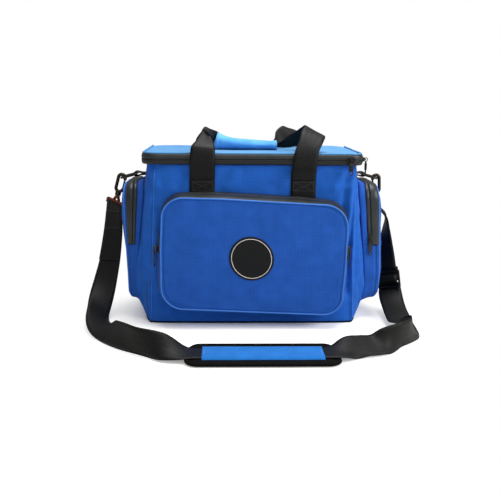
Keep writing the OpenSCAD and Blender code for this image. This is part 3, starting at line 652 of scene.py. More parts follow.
def round_bar(s, turned, start, stop, way):
    """Stations round the yoke's bar."""
    t = math.radians(turned)
    rows = []
    for i in range(5):
        k = math.radians(start + (stop - start) * i / 4)
        place = (-math.sin(t) * math.cos(k) * WRAP_R, math.cos(t) * math.cos(k) * WRAP_R,
                 BAR_Z + math.sin(k) * WRAP_R)
        rows.append((np.array([s * RING_END_X, tab_y(s), RING_END_Z]) + hook_way(s, place),
                     way * hook_way(s, (math.cos(t), math.sin(t), 0))))
    return rows


def layer(rows, off):
    """Stations of a layer that lies off away from the strap."""
    last = len(rows) - 1
    made = []
    for i, row in enumerate(rows):
        t = unit(np.array(rows[min(i + 1, last)][0]) - np.array(rows[max(i - 1, 0)][0]))
        made.append((np.array(row[0]) + off * unit(np.cross(t, row[1])), row[1]))
    return made


print("the webbing goes round the bar at", round(WRAP_R, 2), "mm")

# %% [markdown]
# Between the hooks it falls to the floor, turns on its edge and runs under the pad. A cloth simulation could
# lay it down too, but its turns are hard to steer, so the stations are listed, each with the way its width
# points.

# %% Stations of the strap
LEFT_DOUBLE = [
    ((-282, -1, 204), (0.74, -0.67, -0.1)),
    ((-284, -6, 170), (0.82, -0.57, -0.05)),
    ((-287, -15, 138), (0.88, -0.47, 0)),
    ((-290.5, -26, 108), (0.92, -0.38, 0))]
LEFT_WAY = [
    ((-297, -48, 68), (0.94, -0.2, -0.15)),
    ((-302, -76, 38), (0.85, 0, -0.4)),
    ((-303, -104, 22), (0.8, 0.1, -0.55)),
    ((-298, -140, 14), (0.88, 0.2, -0.25)),
    ((-286, -178, 13), (0.86, 0.3, 0.2)),
    ((-266, -218, 18), (0.6, 0.35, 0.7)),
    ((-240, -258, 23), (0.3, 0.3, 0.9)),
    ((-208, -292, 25), (0.05, 0.1, 1)),
    ((-174, -312, 24), (0, 0.35, 0.95)),
    ((-146, -318, 18), (0, 0.8, 0.55)),
    ((-118, PAD_Y, STRAP_Z + 0.7), (0, 1, 0.1)),
    ((-92, PAD_Y, STRAP_Z), (0, 1, 0)),
    ((PAD_X - 0.1, PAD_Y, STRAP_Z), (0, 1, 0))]
RIGHT_WAY = [
    ((PAD_X + 0.1, PAD_Y, STRAP_Z), (0, 1, 0)),
    ((92, PAD_Y, STRAP_Z), (0, 1, 0)),
    ((118, PAD_Y, STRAP_Z + 0.2), (0, 1, 0)),
    ((142, -315, 13), (0, 1, 0.2)),
    ((166, -306, 16), (-0.1, 0.8, 0.6)),
    ((190, -296, 16), (-0.1, 0.85, 0.5)),
    ((214, -288, 15), (0, 0.85, 0.5)),
    ((238, -280, 21), (0, 0.4, 0.9)),
    ((262, -265, 25), (0, 0, 1)),
    ((284, -243, 25), (0, 0, 1)),
    ((297, -216, 23), (-0.3, 0.05, 0.95)),
    ((295, -188, 16), (-0.85, -0.05, 0.5)),
    ((290, -152, 13), (-1, -0.05, 0.05)),
    ((291, -112, 17), (-1, 0, -0.05)),
    ((293, -76, 22), (-0.97, 0.2, 0)),
    ((294, -45, 32), (-0.9, 0.42, 0))]
RIGHT_DOUBLE = [
    ((286.5, -9.5, 95), (-0.74, 0.66, 0)),
    ((286, -2, 135), (-0.4, 0.91, 0)),
    ((287, 6, 170), (-0.05, 1, 0)),
    ((287, 13.5, 195), (0.18, 0.98, 0)),
    ((278.5, 18, 208), (0.22, 0.97, -0.05)),
    ((269.5, 19.7, 210.5), (0.22, 0.97, 0))]

print("stations by hand:", len(LEFT_DOUBLE + LEFT_WAY), "left,", len(RIGHT_WAY + RIGHT_DOUBLE), "right")

# %% [markdown]
# The right side is adjustable: the strap goes through a buckle of three bars,
# up to the yoke, and back round the middle bar. Its stations there are given in
# the buckle's own frame, up along the strap and out of its face.

# %% Through the adjuster
SLOT_H = 16
adjuster_at = np.array([290.5, -15, 65])
adjuster_up = unit((-0.11, 0.2, 0.97))
adjuster_out = unit(np.cross(adjuster_up, (-0.78, 0.62, 0)))
adjuster_across = np.cross(adjuster_up, adjuster_out)


def threaded(pairs):
    """Stations in the adjuster's frame: up along the strap, and out of its face."""
    return [(adjuster_at + v * adjuster_up + n * adjuster_out, -adjuster_across)
            for v, n in pairs]


left_route = (layer(LEFT_DOUBLE, LAP / 2)[::-1] + round_bar(-1, 44, 180, 0, -1)
              + layer(LEFT_DOUBLE, -LAP / 2) + LEFT_WAY)
right_route = (RIGHT_WAY
               + threaded([(-SLOT_H, -4.4), (-8, 0.7), (0, 5.9), (8, 0.7), (SLOT_H, -4), (24, -3.8)])
               + layer(RIGHT_DOUBLE, LAP / 2) + round_bar(1, -102.7, 180, 0, -1)
               + layer(RIGHT_DOUBLE[::-1], LAP / 2)
               + threaded([(24, -6.2), (SLOT_H, -6.5), (7.5, -5), (0, -3.5), (-2.5, -2.5), (-3.5, 0),
                           (-2.5, 2.5), (0, 3.4), (4, 1.4)]))
print("strap:", len(left_route), "stations left,", len(right_route), "right")

# %% [markdown]
# Both routes are cut into stretches. Near the hooks the band lies double, so a stretch may be two runs in
# one mesh.

# %% Cutting the strap
STEPS = 8
left_rings = strip_rings(left_route, STEPS)
right_rings = strip_rings(right_route, STEPS)


def cut(rings, start, stop):
    """The rings between two stations, both included."""
    return rings[round(start * STEPS):round(stop * STEPS) + 1]


def webbing_piece(name, runs, *nodes, body=None):
    """A strip in the webbing's material."""
    return finish_piece(strip(name, runs), WEBBING, body, "webbing", *nodes)


def bending(name, runs, bodies, start, end, *nodes):
    """A strip of webbing with its transform baked in; bodies, start and end are not used."""
    made = webbing_piece(name, runs, *nodes)
    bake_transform(made)
    return made


def station_at(rings, height, start, stop):
    """The place, in stations, where the strip crosses a height between two others."""
    inside = range(round(start * STEPS), round(stop * STEPS) + 1)
    return min(inside, key=lambda i: abs(rings[i][0][2] - height)) / STEPS


print("strap:", len(left_rings), "rings left,", len(right_rings), "right")

# %% [markdown]
# On the left the lap is sewn flat on the band. The cuts are at two heights, where both layers cross them.

# %% Left half
MID_LOW, MID_HIGH = 170, 204
wrap_start = len(LEFT_DOUBLE)
up_low = station_at(left_rings, MID_LOW, 0, wrap_start - 1)
up_high = station_at(left_rings, MID_HIGH, 0, wrap_start)
down_high = station_at(left_rings, MID_HIGH, wrap_start + 4, wrap_start + 6)
down_low = station_at(left_rings, MID_LOW, wrap_start + 4, wrap_start + 7)
left_run = cut(left_rings, down_low, len(left_route) - 1)
low_bend = (("bag", "left_ring"), (-0.303, -0.1, 0.024), (-0.285, -0.008, 0.166))
left_main = bending("strap_left", [left_run], *low_bend, "strap_left")
left_lap = bending("strap_left_lap", [cut(left_rings, 0, up_low)], *low_bend)
bending("strap_left_mid", [cut(left_rings, up_low, up_high), cut(left_rings, down_high, down_low)],
        ("left_ring", "left_hook"), (-0.2835, -0.004, 0.174), (-0.282, -0.001, 0.202))
bending("strap_left_top", [cut(left_rings, up_high, down_high)],
        ("left_hook", "left_yoke"), (-0.282, -0.001, 0.206), (-0.28, -0.001, 0.216))

# %% [markdown]
# On the right there are more stretches, because the buckle moves on the strap.
# Here the cuts are counted in stations from where the band starts to lie
# double, on the way up and on the way down.

# %% Right half
at_bar = len(RIGHT_WAY) + 2
double = len(RIGHT_WAY) + 6
back = double + len(RIGHT_DOUBLE) + 5
low_up, up_low, up_high = double + 1, double + 2, double + 3.6
low_down, down_low, down_high = back + 4, back + 3, back + 1.4
right_run = cut(right_rings, 0, at_bar)
right_main = bending("strap_right", [right_run], ("bag", "adjuster"),
                     (0.294, -0.045, 0.033), (0.2925, -0.019, 0.048), "strap_right")
right_threaded = bending("strap_right_threaded", [cut(right_rings, at_bar, low_up),
                                                  cut(right_rings, low_down, len(right_route) - 1)],
                         ("adjuster", "bag"), (0.288, -0.011, 0.085), (0.286, -0.003, 0.128))
bending("strap_right_double", [cut(right_rings, low_up, up_low), cut(right_rings, down_low, low_down)],
        ("bag", "right_ring"), (0.286, -0.002, 0.137), (0.287, 0.006, 0.168))
bending("strap_right_mid", [cut(right_rings, up_low, up_high), cut(right_rings, down_high, down_low)],
        ("right_ring", "right_hook"), (0.287, 0.006, 0.172), (0.282, 0.017, 0.204))
bending("strap_right_top", [cut(right_rings, up_high, down_high)],
        ("right_hook", "right_yoke"), (0.279, 0.018, 0.2085), (0.27, 0.0197, 0.211))

# %% [markdown]
# ## The body
# The bag's walls are padded cloth that stands by itself and swells a little at
# the sides. Five flat plates would look like a box, so the body is lofted: one
# outline, whose sides bulge and whose corners stay sharp, at many heights.

# %% Body outline
HALF_W, HALF_D, BODY_H = 197, 115, 314
SIDE_SWELL, WALL, FOOT_SPREAD = 34, 4.5, 0.022


def corner_drop(z):
    """How far a front corner seam sits behind the flat of the panel."""
    return 5 + 10 * (z / BODY_H) ** 4


def swell(z):
    """How far a side stands past its seams at height z."""
    low = min(max(z, 0) / 75, 1)
    full = 12 + SIDE_SWELL * math.sin(math.pi * (max(z, 0) / BODY_H) ** 0.4)
    return full * (0.5 + 0.5 * low * low * (3 - 2 * low))


def side_x(y, z):
    """The side panel's distance from the middle."""
    v = np.minimum(np.abs(y) / (HALF_D - corner_drop(z)), 1)
    return HALF_W + swell(z) * (1 - v ** 3.5)


def front_y(x, z):
    """The front panel's distance in front of the middle."""
    return HALF_D - corner_drop(z) * np.minimum(np.abs(x) / HALF_W, 1) ** 9


def toward_ends(half, near, count):
    """Places from -half to half, close together near both ends."""
    inner = np.linspace(-half + near[-1] + 5, half - near[-1] - 5, count)
    return np.concatenate([-half + np.array(near), inner, half - np.array(near[::-1])])


NEAR = [0, 1, 2, 3.2, 4.6, 6.5, 9, 12.5, 17]
front_xs = toward_ends(HALF_W, NEAR, 80)


def body_outline(z):
    """The closed outline of the body at height z, and the way round from each corner."""
    half = HALF_D - corner_drop(z)
    ys = toward_ends(half, NEAR, 44)[1:-1]
    front = np.stack([front_xs, -front_y(front_xs, z)], 1)
    side = np.stack([side_x(ys, z), ys], 1)
    spread = 1 + FOOT_SPREAD * math.exp(-(z / 90) ** 2)
    flat = np.concatenate([front, side, -front, -side]) * (spread, 1)
    from_seam = np.concatenate([HALF_W - np.abs(front_xs), half - np.abs(ys)] * 2)
    return flat, from_seam


print("outline:", len(body_outline(0)[0]), "points round")

# %% [markdown]
# Cloth that stands in a corner buckles into a few long folds. A simulation can
# find them; here each is a line on the wall with a width and a height, so that
# most folds lie where the bag is slack: at its corners and under the lid.

# %% Creases


def crease(place, start, stop, wide, high):
    """A soft fold along the line from start to stop, given in x or y and z."""
    start, stop = np.array(start, float), np.array(stop, float)
    way = stop - start
    share = ((place - start) @ way) / way.dot(way)
    off = (place - start) @ np.array([way[1], -way[0]]) / np.linalg.norm(way)
    window = np.clip(share * 4, 0, 1) * np.clip((1 - share) * 4, 0, 1)
    return 2.2 * high * np.exp(-(off / wide) ** 2) * window ** 1.5


FRONT_CREASES = [((-190, 60), (-186, 250), 5, 2.6), ((-179, 255), (-196, 312), 6, 2.4),
                 ((-150, 262), (-120, 312), 8, -1.6), ((181, 60), (187, 270), 4, 4),
                 ((190, 30), (192, 200), 3, -3), ((172, 262), (196, 300), 6, 3.2),
                 ((176, 180), (180, 300), 5, -3), ((186, 200), (193, 306), 5, 3),
                 ((150, 258), (178, 310), 8, 2), ((-60, 258), (-20, 312), 12, 1.4),
                 ((30, 258), (66, 312), 12, -1.6), ((-150, 22), (120, 16), 7, -1.6),
                 ((140, 14), (196, 60), 7, 2.4), ((-194, 40), (-160, 12), 7, 2)]
SIDE_CREASES = [((-98, 60), (-90, 280), 4, 4), ((-92, 60), (-86, 300), 4, -3.4),
                ((-105, 190), (-92, 306), 5, 2.4), ((-80, 20), (-98, 90), 6, -2.6),
                ((96, 60), (88, 290), 6, 2.6)]
print("creases:", len(FRONT_CREASES), "on the front,", len(SIDE_CREASES), "on a side")

# %% [markdown]
# The loft adds what sewing does: a raised ridge along each corner seam, small
# puckers beside it, broad lumps in between and a rounded foot. Displacement by
# a texture would push everywhere alike; this push knows its distance to a seam.

# %% Body shell
FOOT_ZS, RIM_ZS = [0.3, 1, 2, 3.4, 5.4, 8, 12, 17], [304, 308, 311.5, 313.7]
heights = np.concatenate([FOOT_ZS, np.linspace(22, 300, 74), RIM_ZS])
outer, inner = [], []
for z in heights:
    flat, from_seam = body_outline(z)
    along = np.roll(flat, -1, 0) - np.roll(flat, 1, 0)
    normal = unit_rows(np.stack([along[:, 1], -along[:, 0]], 1))
    place = at_height(flat, z)
    ridge = 1.7 * np.exp(-(from_seam / 1.8) ** 2) - 1.3 * np.exp(-((from_seam - 6) / 4) ** 2)
    lumps = rough(place, (60, 60, 95), 2.4, 1) + rough(place, (24, 24, 55), 1.0, 2)
    pucker = rough(place, (16, 16, 10), 1.0, 3) * np.exp(-from_seam / 14)
    corner = len(front_xs)
    flanks = len(flat) // 2 - corner
    for start, mirrored in ((0, 1), (corner + flanks, -1)):
        where = place[start:start + corner, [0, 2]] * (mirrored, 1)
        lumps[start:start + corner] += sum(crease(where, *c) for c in FRONT_CREASES)
    for start in (corner, 2 * corner + flanks):
        lumps[start:start + flanks] += sum(crease(place[start:start + flanks, 1:], *c) for c in SIDE_CREASES)
    fade = min(1, z / 14) * min(1, (BODY_H - z) / 18)
    under = 6 * (1 - math.sqrt(max(0, 1 - (max(0, 9 - z) / 9) ** 2)))
    push = (lumps + pucker) * fade + ridge * min(1, z / 8) - under - 0.6
    at = flat + normal * push[:, None]
    outer.append(at_height(at, z))
    inner.append(at_height(at - normal * WALL, z))
body = shell("body", outer, inner, wrap=True)
# The body's blue is painted lighter than the pockets': painted light.
finish_piece(body, LIT_BODY_BLUE, "bag", "fabric_blue", "front_panel", "rear_panel", "left_panel", "right_panel")
print("body:", len(body.data.vertices), "points")

# %% [markdown]
# Under the walls lies a black base panel. A black cord round the foot is painted shadow along the bottom
# edge, and the front seam at the left stands out as a thin line. The cord and the seam follow the shell's
# own rows, so they fit it closely. A painted line would catch no light.

# %% Base, painted shadow at the foot and front seam
SEAM_FOOT_X, SEAM_LEAN, SEAM_R, SHADOW_LINE_R = -199, 12, 0.8, 1.4
# A black cord round the foot, painted shadow along the bottom edge.
foot = at_height(outer[3][:, :2], 1.5)
foot_shadow_line = tube("base_shadow_line", spaced(np.concatenate([foot, foot[:1]]), 4)[:-1], SHADOW_LINE_R, closed=True, sides=8)
finish_piece(foot_shadow_line, FOAM, "bag", "webbing")
seam_path = []
for row, z in zip(outer[5::3], heights[5::3]):
    x = SEAM_FOOT_X + SEAM_LEAN * z / BODY_H
    front = row[:len(front_xs)]
    seam_path.append((x, np.interp(x, front[:, 0], front[:, 1]) - 0.2, z))
seam = tube("front_seam", seam_path, SEAM_R, sides=8)
finish_piece(seam, EDGE, "bag", "fabric_blue")
bottom = [at_height(body_outline(0)[0] * (1 - k), 0.1) for k in (0.03, 0.2, 0.5, 0.8, 0.97)]
base = shell("base", bottom, [b + (0, 0, 3.6) for b in bottom], wrap=True, pole=True)
finish_piece(base, FOAM, "bag", "webbing", "base_panel")
print("base, its edge and the seam")

# %% [markdown]
# ## The lid
# The lid has no metal hinge: a strip of cloth along the rear edge folds when it opens. Two stiff pieces with
# a pivot would be simpler; here the strip is one mesh.

# %% Hinge strip
ZIP_Z = 324
LID_HALF_W, LID_HALF_D, LID_R = 210, 119.5, 24
strip_xs = np.linspace(-194, 194, 80)
strip_zs = np.array([300, 303, 308, 313, 316, 319, 322, 325, 328, 331])
grid = np.array([[(x, 117.6 + 1.6 * min(1, (z - 300) / 6), z) for x in strip_xs] for z in strip_zs])
grid[..., 1] += rough(grid, (40, 40, 20), 0.6, 4)
hinge = shell("hinge_strip", grid, grid - np.array([0, 2.4, 0]))
finish_piece(hinge, BLUE, None, "fabric_blue")
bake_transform(hinge)
print("hinge:", len(hinge.data.vertices), "points")

# %% [markdown]
# Round the opening the zip stands out past the walls, most at the corners. A
# narrow ledge of cloth closes that gap: a ring between the body's outline and
# the zip's, whose points are matched by their angle from the middle.

# %% Ledge round the opening


def angle(flat):
    """The way round of each point, the long sides as long as the short ones."""
    return np.arctan2(flat[:, 1] / HALF_D, flat[:, 0] / HALF_W)


inside, _ = body_outline(312)
ring = rounded(207.5, 117.8, 22, 2)
edge = np.stack([np.interp(angle(inside), angle(ring), ring[:, k], period=2 * math.pi) for k in (0, 1)], 1)
ledge = np.array([at_height(inside * 0.99 * (1 - k) + edge * k, 311.8 + 1.4 * k) for k in (0, 0.5, 1)])
ledge = shell("rim_ledge", ledge, ledge + (0, 0, 1.4), wrap=True)
finish_piece(ledge, BLUE, "bag", "fabric_blue")
print("ledge:", len(ledge.data.vertices), "points")

# %% [markdown]
# The cloth of the hinge is drawn round both rear corners, as far as the ends of the zip. A corner could be
# one bent strip with the rest; as a piece of its own it keeps the tight radius.

# %% Hinge corners
CORNER_X, CORNER_Y, CORNER_R = 184.5, 96.4, 22
CORNER_ZS = (312.5, 315, 318, 321, 324, 327, 330, 332.5)
for s, side in ((-1, "left"), (1, "right")):
    bend = arc((CORNER_X, CORNER_Y), CORNER_R, 0, 90)
    way = spaced(np.concatenate([[[CORNER_X + CORNER_R, 86]], bend]), 2) * (s, 1)
    inwards = (np.array([s * CORNER_X, 90]) - way) * 0.07
    outer = [at_height(way, z) for z in CORNER_ZS]
    inner = [o + at_height(inwards, 0) for o in outer]
    corner = shell("hinge_corner_" + side, outer, inner)
    finish_piece(corner, BLUE, None, "fabric_blue")
    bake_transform(corner)
print("hinge corners: 2, radius", CORNER_R, "mm")

# %% [markdown]
# The lid itself is a thin padded panel. It puffs up just inside its piping,
# then lies nearly flat, with the slack of an empty cover and a dent under the
# grip. Rings that shrink to the middle are close together where it curves most.

# %% Lid panel
rim = rounded(208.2, 117.7, 22, 4)
SHARES = [1, 0.995, 0.99, 0.984, 0.978, 0.972, 0.965, 0.957, 0.945, 0.92, 0.89,
          0.85, 0.8, 0.74, 0.67, 0.59, 0.5, 0.4, 0.3, 0.2, 0.1, 0.02]
LID_TOP, LID_UNDER = 333.6, 325.2
top_rows, under_rows = [], []
for k in SHARES:
    flat = rim * k
    place = at_height(flat, LID_TOP + 1.6 * (1 - math.exp(-(1 - k) * 40)) + 2.2 * (1 - k ** 2))
    slack = rough(place, (85, 60, 60), 1.8, 5) + rough(place, (34, 22, 30), 0.7, 6)
    pressed = 3 * np.exp(-((flat[:, 0] + 11) / 85) ** 4 - ((flat[:, 1] + 9) / 42) ** 4)
    place[:, 2] += (slack - pressed) * min(1, (1 - k) * 12)
    top_rows.append(place)
    under_rows.append(at_height(flat, LID_UNDER))
lid = shell("lid_panel", top_rows, under_rows, wrap=True, pole=True)
# The lid's paint is the light-blue cloth with a painted sheen in its colour.
finish_piece(lid, LIGHT_AND_SHEEN, "lid", "fabric_light", "lid_panel")
print("lid:", len(lid.data.vertices), "points")

# %% [markdown]
# The zip band is stiff coated tape in two halves, one on the bag and one on the lid, with the zip between.
# The half on the bag is painted darker, as painted shade under the lid's edge. Each half is one profile
# swept round three sides; the outline stops at the rear, where the cloth hinge takes over.

# %% Zip band of the lid
BAND_REAR, TAPE_T = 109, 2.2


def open_loop(half_w, half_d, r, rear, step=3):
    """Three sides of a rounded rectangle, from the left rear round the front."""
    whole = np.concatenate([[[-half_w, rear]], arc((-half_w + r, -half_d + r), r, 180, 270),
                            arc((half_w - r, -half_d + r), r, 270, 360), [[half_w, rear]]])
    return spaced(whole, step)


def round_lid(off, step=3):
    """The line of the zip, moved outwards."""
    return open_loop(LID_HALF_W + off, LID_HALF_D + off, LID_R + off, BAND_REAR, step)


def waved(line):
    """How far the band wanders up and down along a line."""
    return rough(at_height(line, 0), (70, 70, 70), 0.9, 7) * 0.5


def swept(name, profile, thickness=TAPE_T):
    """A band swept round the lid; profile is rows of (outwards, height)."""
    base = round_lid(0)
    inwards = unit_rows(base * 0.985 - base) * thickness
    outer, inner = [], []
    for off, z in profile:
        flat = round_lid(off)
        at = np.linspace(0, len(flat) - 1, len(base))
        flat = np.stack([np.interp(at, np.arange(len(flat)), flat[:, k]) for k in (0, 1)], 1)
        outer.append(at_height(flat, z + waved(base)))
        inner.append(at_height(flat + inwards, z + waved(base)))
    return shell(name, outer, inner)


# The bag's half gets the darker paint, painted shade under the lid's half.
lower = swept("lid_band_lower", [(-1.6, 313.2), (0.2, 313.4), (1.5, 314.6), (2.3, 316.6),
                                 (2.7, 319), (2.8, 321.6), (2.7, 323.2), (1.6, 323.8)])
finish_piece(lower, SHADED_LOWER_BAND, "bag", "zip_band", "lower_zip_tape")
upper = swept("lid_band_upper", [(1.6, 324.2), (2.7, 324.8), (2.8, 326.6), (2.6, 329),
                                 (2, 331.4), (1, 333.4), (-0.4, 333.3), (-2, 332.8)])
finish_piece(upper, BAND, "lid", "zip_band", "upper_zip_tape")
piping_path = open_loop(LID_HALF_W - 0.6, LID_HALF_D - 0.6, LID_R - 0.6, BAND_REAR - 1)
piping_wave = rough(np.column_stack([piping_path, piping_path[:, :1] * 0]), (70, 70, 70), 0.5, 7)
# The piping has the lid's paint, painted sheen included.
piping = tube("lid_piping", at_height(piping_path, 335 + piping_wave), 1.5)
finish_piece(piping, LIGHT_AND_SHEEN, "lid", "fabric_light", "lid_piping")
print("lid's edge: two bands and the piping")

# %% [markdown]
# ## The front pocket
# The pocket is a flat bag of its own, sewn on: a gusset round three sides, a
# zip band over the top, and a padded face. All of it hangs askew, so every
# piece is built straight and then passes through one function that lets it sag.

# %% How the front pocket hangs
FRONT_W, FRONT_Z0, FRONT_Z1, FRONT_R, FRONT_T = 354, 35, 253, 41, 36
FRONT_ZIP_Z, CLOTH = 142, 2.4


def sagged(points):
    """The pocket hangs askew: lower towards the right, and drawn in at both sides."""
    points = np.array(points, float)
    x, z = points[..., 0].copy(), points[..., 2].copy()
    level = (z - 144) / 109
    points[..., 2] -= 2.2 + 1.5 * level + (0.046 + 0.006 * level) * x
    points[..., 2] -= 3 * np.clip((-x - 60) / 100, 0, 1) * np.clip((z - 190) / 50, 0, 1)
    drawn = np.interp(z, [60, 80, 130, 200, 230], [-2, -3.5, 0, 1.8, 1.8]) * np.clip(x / 177, 0, 1.1) ** 3
    high = np.clip((z - 150) / 60, 0, 1)
    points[..., 0] += np.where(x < 0, -(2.8 + 2.6 * high) * x / 177, drawn)
    return points


print("front pocket:", FRONT_W, "x", FRONT_Z1 - FRONT_Z0, "mm, zip ends at", FRONT_ZIP_Z)

# %% [markdown]
# The gusset runs from the body out to the face. Rings of one outline at several
# distances make it; the part above the zip's ends is band, and the part below
# is cloth. Cutting one tube by a plane would leave ragged ends.

# %% Gusset and zip band


def front_ring(row, part, inset):
    """One ring of the gusset: row is (distance from the body, inset of the outline)."""
    half = FRONT_W / 2 - row[1] - inset + 2.5 * max(0, 1 - row[0] / 6)
    if part == "arch":
        flat = arch(half, FRONT_ZIP_Z, FRONT_Z1 - row[1] - inset, FRONT_R, None)
    else:
        flat = cup(half, FRONT_ZIP_Z - 0.3, FRONT_Z0 + row[1] * 0.5 + inset, FRONT_R, None)
    flat = fixed_count(flat, 150)
    side = np.clip((np.abs(flat[:, 0]) - 95) / 75, 0, 1) * (part == "arch")
    side = side * np.clip((flat[:, 1] - 150) / 55, 0, 1)
    behind = 1 - row[0] / FRONT_T
    flat[:, 0] -= np.sign(flat[:, 0]) * np.where(flat[:, 0] < 0, 9, 5) * side * behind
    flat[:, 1] -= 5 * side * behind * np.clip((flat[:, 1] - 180) / 40, 0, 1)
    depth = -HALF_D - row[0] + np.array([(HALF_D - front_y(x, z)) * (1 - row[0] / FRONT_T) for x, z in flat])
    return np.column_stack([flat[:, 0], depth, flat[:, 1]])


def front_band(name, part, rows, lumps=0.8):
    """A stretch of the gusset through these rows."""
    outer = np.array([front_ring(r, part, 0) for r in rows])
    inner = np.array([front_ring(r, part, CLOTH) for r in rows])
    moved = rough(outer, (38, 38, 38), lumps, 8)
    for grid in (outer, inner):
        grid[..., 0] += moved * np.sign(outer[..., 0]) * 0.7
        grid[..., 2] += moved * 0.5
    return shell(name, sagged(outer), sagged(inner))


gusset_rows = [(0.4, -9), (5, -9.4), (12, -8.2), (20, -5.4), (28, -2.4), (35, 0.2)]
inner_rows = [(0.4, -9), (3, -9.8), (8, -9.8), (13, -8.6), (15.1, -7.8)]
outer_rows = [(15.5, -7.7), (18, -7.4), (23, -5.8), (28, -3.6), (33, -0.8), (35.4, 0.8)]
gusset = front_band("front_gusset", "cup", gusset_rows, 1.6)
finish_piece(gusset, BLUE, "bag", "fabric_blue", "front_gusset")
band = front_band("front_band_inner", "arch", inner_rows)
finish_piece(band, BAND, "bag", "zip_band", "front_inner_tape")
band = front_band("front_band_outer", "arch", outer_rows)
finish_piece(band, BAND, "front_cover", "zip_band", "front_outer_tape")
print("gusset and two bands")

# %% [markdown]
# The face is padded, with a groove where the edging is sewn. Its height is one function of the place, so the
# face, its edging and the patch on it share the same surface.

# %% Face and edging
FACE_MID = (FRONT_Z0 + FRONT_Z1) / 2
FACE_HALF = (FRONT_Z1 - FRONT_Z0) / 2
FACE_Y, FACE_BACK_Y, EDGING_Y = 151.6, -149.8, -152.4


def face_share(x, z):
    """0 at the middle of the face and 1 at its edge."""
    return ((np.abs(x) / (FRONT_W / 2)) ** 7 + (np.abs(z - FACE_MID) / FACE_HALF) ** 7) ** (1 / 7)


def face_depth(x, z):
    """How far the face stands in front of the middle of the bag."""
    k = np.minimum(face_share(x, z), 1)
    place = np.stack([x, np.full_like(x, -150.0), z], -1)
    slack = rough(place, (70, 70, 55), 1.5, 9) + rough(place, (26, 26, 22), 0.6, 10)
    groove = 1.6 * np.exp(-((1 - k - 0.022) / 0.008) ** 2)
    crown = 1.6 * (1 - np.exp(-(1 - k) * 160)) + 3 * (1 - k ** 2.5)
    return FACE_Y + crown + slack * np.minimum(1, (1 - k) * 9) - groove


face_rim = rounded(FRONT_W / 2, FACE_HALF, FRONT_R, 3.4)
front_rows, back_rows = [], []
for k in SHARES:
    x, z = face_rim[:, 0] * k, FACE_MID + face_rim[:, 1] * k
    front_rows.append(np.stack([x, -face_depth(x, z), z], 1))
    back_rows.append(np.stack([x, np.full(len(x), FACE_BACK_Y), z], 1))
face = shell("front_face", sagged(front_rows), sagged(back_rows), wrap=True, pole=True)
finish_piece(face, BLUE, None, "fabric_blue", "front_lower_face", "front_flap")
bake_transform(face)
edge_path = np.stack([face_rim[:, 0], np.full(len(face_rim), EDGING_Y), FACE_MID + face_rim[:, 1]], 1)
edging = tube("front_piping", sagged(edge_path), 1.5, closed=True)
finish_piece(edging, EDGE, None, "fabric_light", "front_lower_piping", "front_flap_piping")
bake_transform(edging)
print("front face:", len(face.data.vertices), "points")

# %% [markdown]
# A round patch with a pale ring is sewn on the face. A flat disc would cut
# through the padding, so both are thin shells whose rings follow the face and
# stand a millimetre or two over it.

# %% Patch on the front pocket
PATCH_X, PATCH_Z = -3, 142


def disc(name, radii, lifts, base_lift, pole=False):
    """A flat ring or disc that follows the face; lifts are heights over it."""
    a = np.linspace(0, 2 * math.pi, 120, endpoint=False)
    outer, inner = [], []
    for r, lift in zip(radii, lifts):
        x, z = PATCH_X + r * np.cos(a), PATCH_Z + r * np.sin(a)
        y = face_depth(x, z)
        outer.append(np.stack([x, -y - lift, z], 1))
        inner.append(np.stack([x, -y - base_lift, z], 1))
    return shell(name, sagged(outer), sagged(inner), wrap=True, pole=pole)


PATCH_RADII = [42.8, 42.6, 42, 40.6, 34, 26, 17, 8, 0.4]
patch = disc("patch", PATCH_RADII, [0.5, 1.1, 1.5] + [1.6] * 6, -1.5, pole=True)
finish_piece(patch, PATCH, "front_cover", "patch_black", "patch")
ring = disc("patch_ring", [38.8, 38.7, 37.7, 37.6], [1.7, 2.0, 2.0, 1.7], 1.0)
finish_piece(ring, LINE, "front_cover", "patch_line", "patch_ring")
print("patch and its ring")

# %% [markdown]
# ## The side pockets
# Each side pocket starts on the swollen side wall, so its rings run from that
# wall outwards by a share of the way. One function makes both sides; only how
# full the pocket is and where its band ends differ.

# %% Rings of a side pocket
SIDE_HALF, SIDE_Z0, SIDE_Z1, SIDE_R, CUP_R = 75, 38, 270, 34, 24
SIDE_ZIP_Z, SIDE_OUT, CROWN = 152, 252, 3.5
FULL_Z = [35, 42, 54, 90, 150, 230, 270]
FULLER = {-1: [-20, -11, -7, -6, -3, 0, 1], 1: [-9, 1, 6, 8, 6, 2.5, 0]}
BAND_END = {-1: 0.88, 1: 0.97}


def side_ring(s, row, part, inset):
    """One ring of a side pocket: row is (share of the way out, inset of the outline)."""
    half = SIDE_HALF - row[1] - inset
    if part == "arch":
        flat = arch(half, SIDE_ZIP_Z, SIDE_Z1 - row[1] - inset, SIDE_R, None)
    else:
        flat = cup(half, SIDE_ZIP_Z - 0.3, SIDE_Z0 - 3 + row[1] + inset, CUP_R, None)
    flat = fixed_count(flat, 110)
    start = np.array([side_x(y, z) + 0.5 for y, z in flat])
    stop = SIDE_OUT + np.interp(flat[:, 1], FULL_Z, FULLER[s])
    return np.column_stack([s * (start + row[0] * (stop - start)), flat])


def side_band(name, s, part, rows, lumps=0.8):
    """A stretch of a side pocket through these rows."""
    outer = np.array([side_ring(s, r, part, 0) for r in rows])
    inner = np.array([side_ring(s, r, part, CLOTH) for r in rows])
    moved = rough(outer, (36, 36, 36), lumps, 11 + s)
    for grid in (outer, inner):
        grid[..., 1] += moved * np.sign(outer[..., 1]) * 0.8
        grid[..., 2] += moved * 0.5
    return shell(name, outer, inner)


print("side pocket:", 2 * SIDE_HALF, "mm wide,", SIDE_Z1 - SIDE_Z0, "mm high")

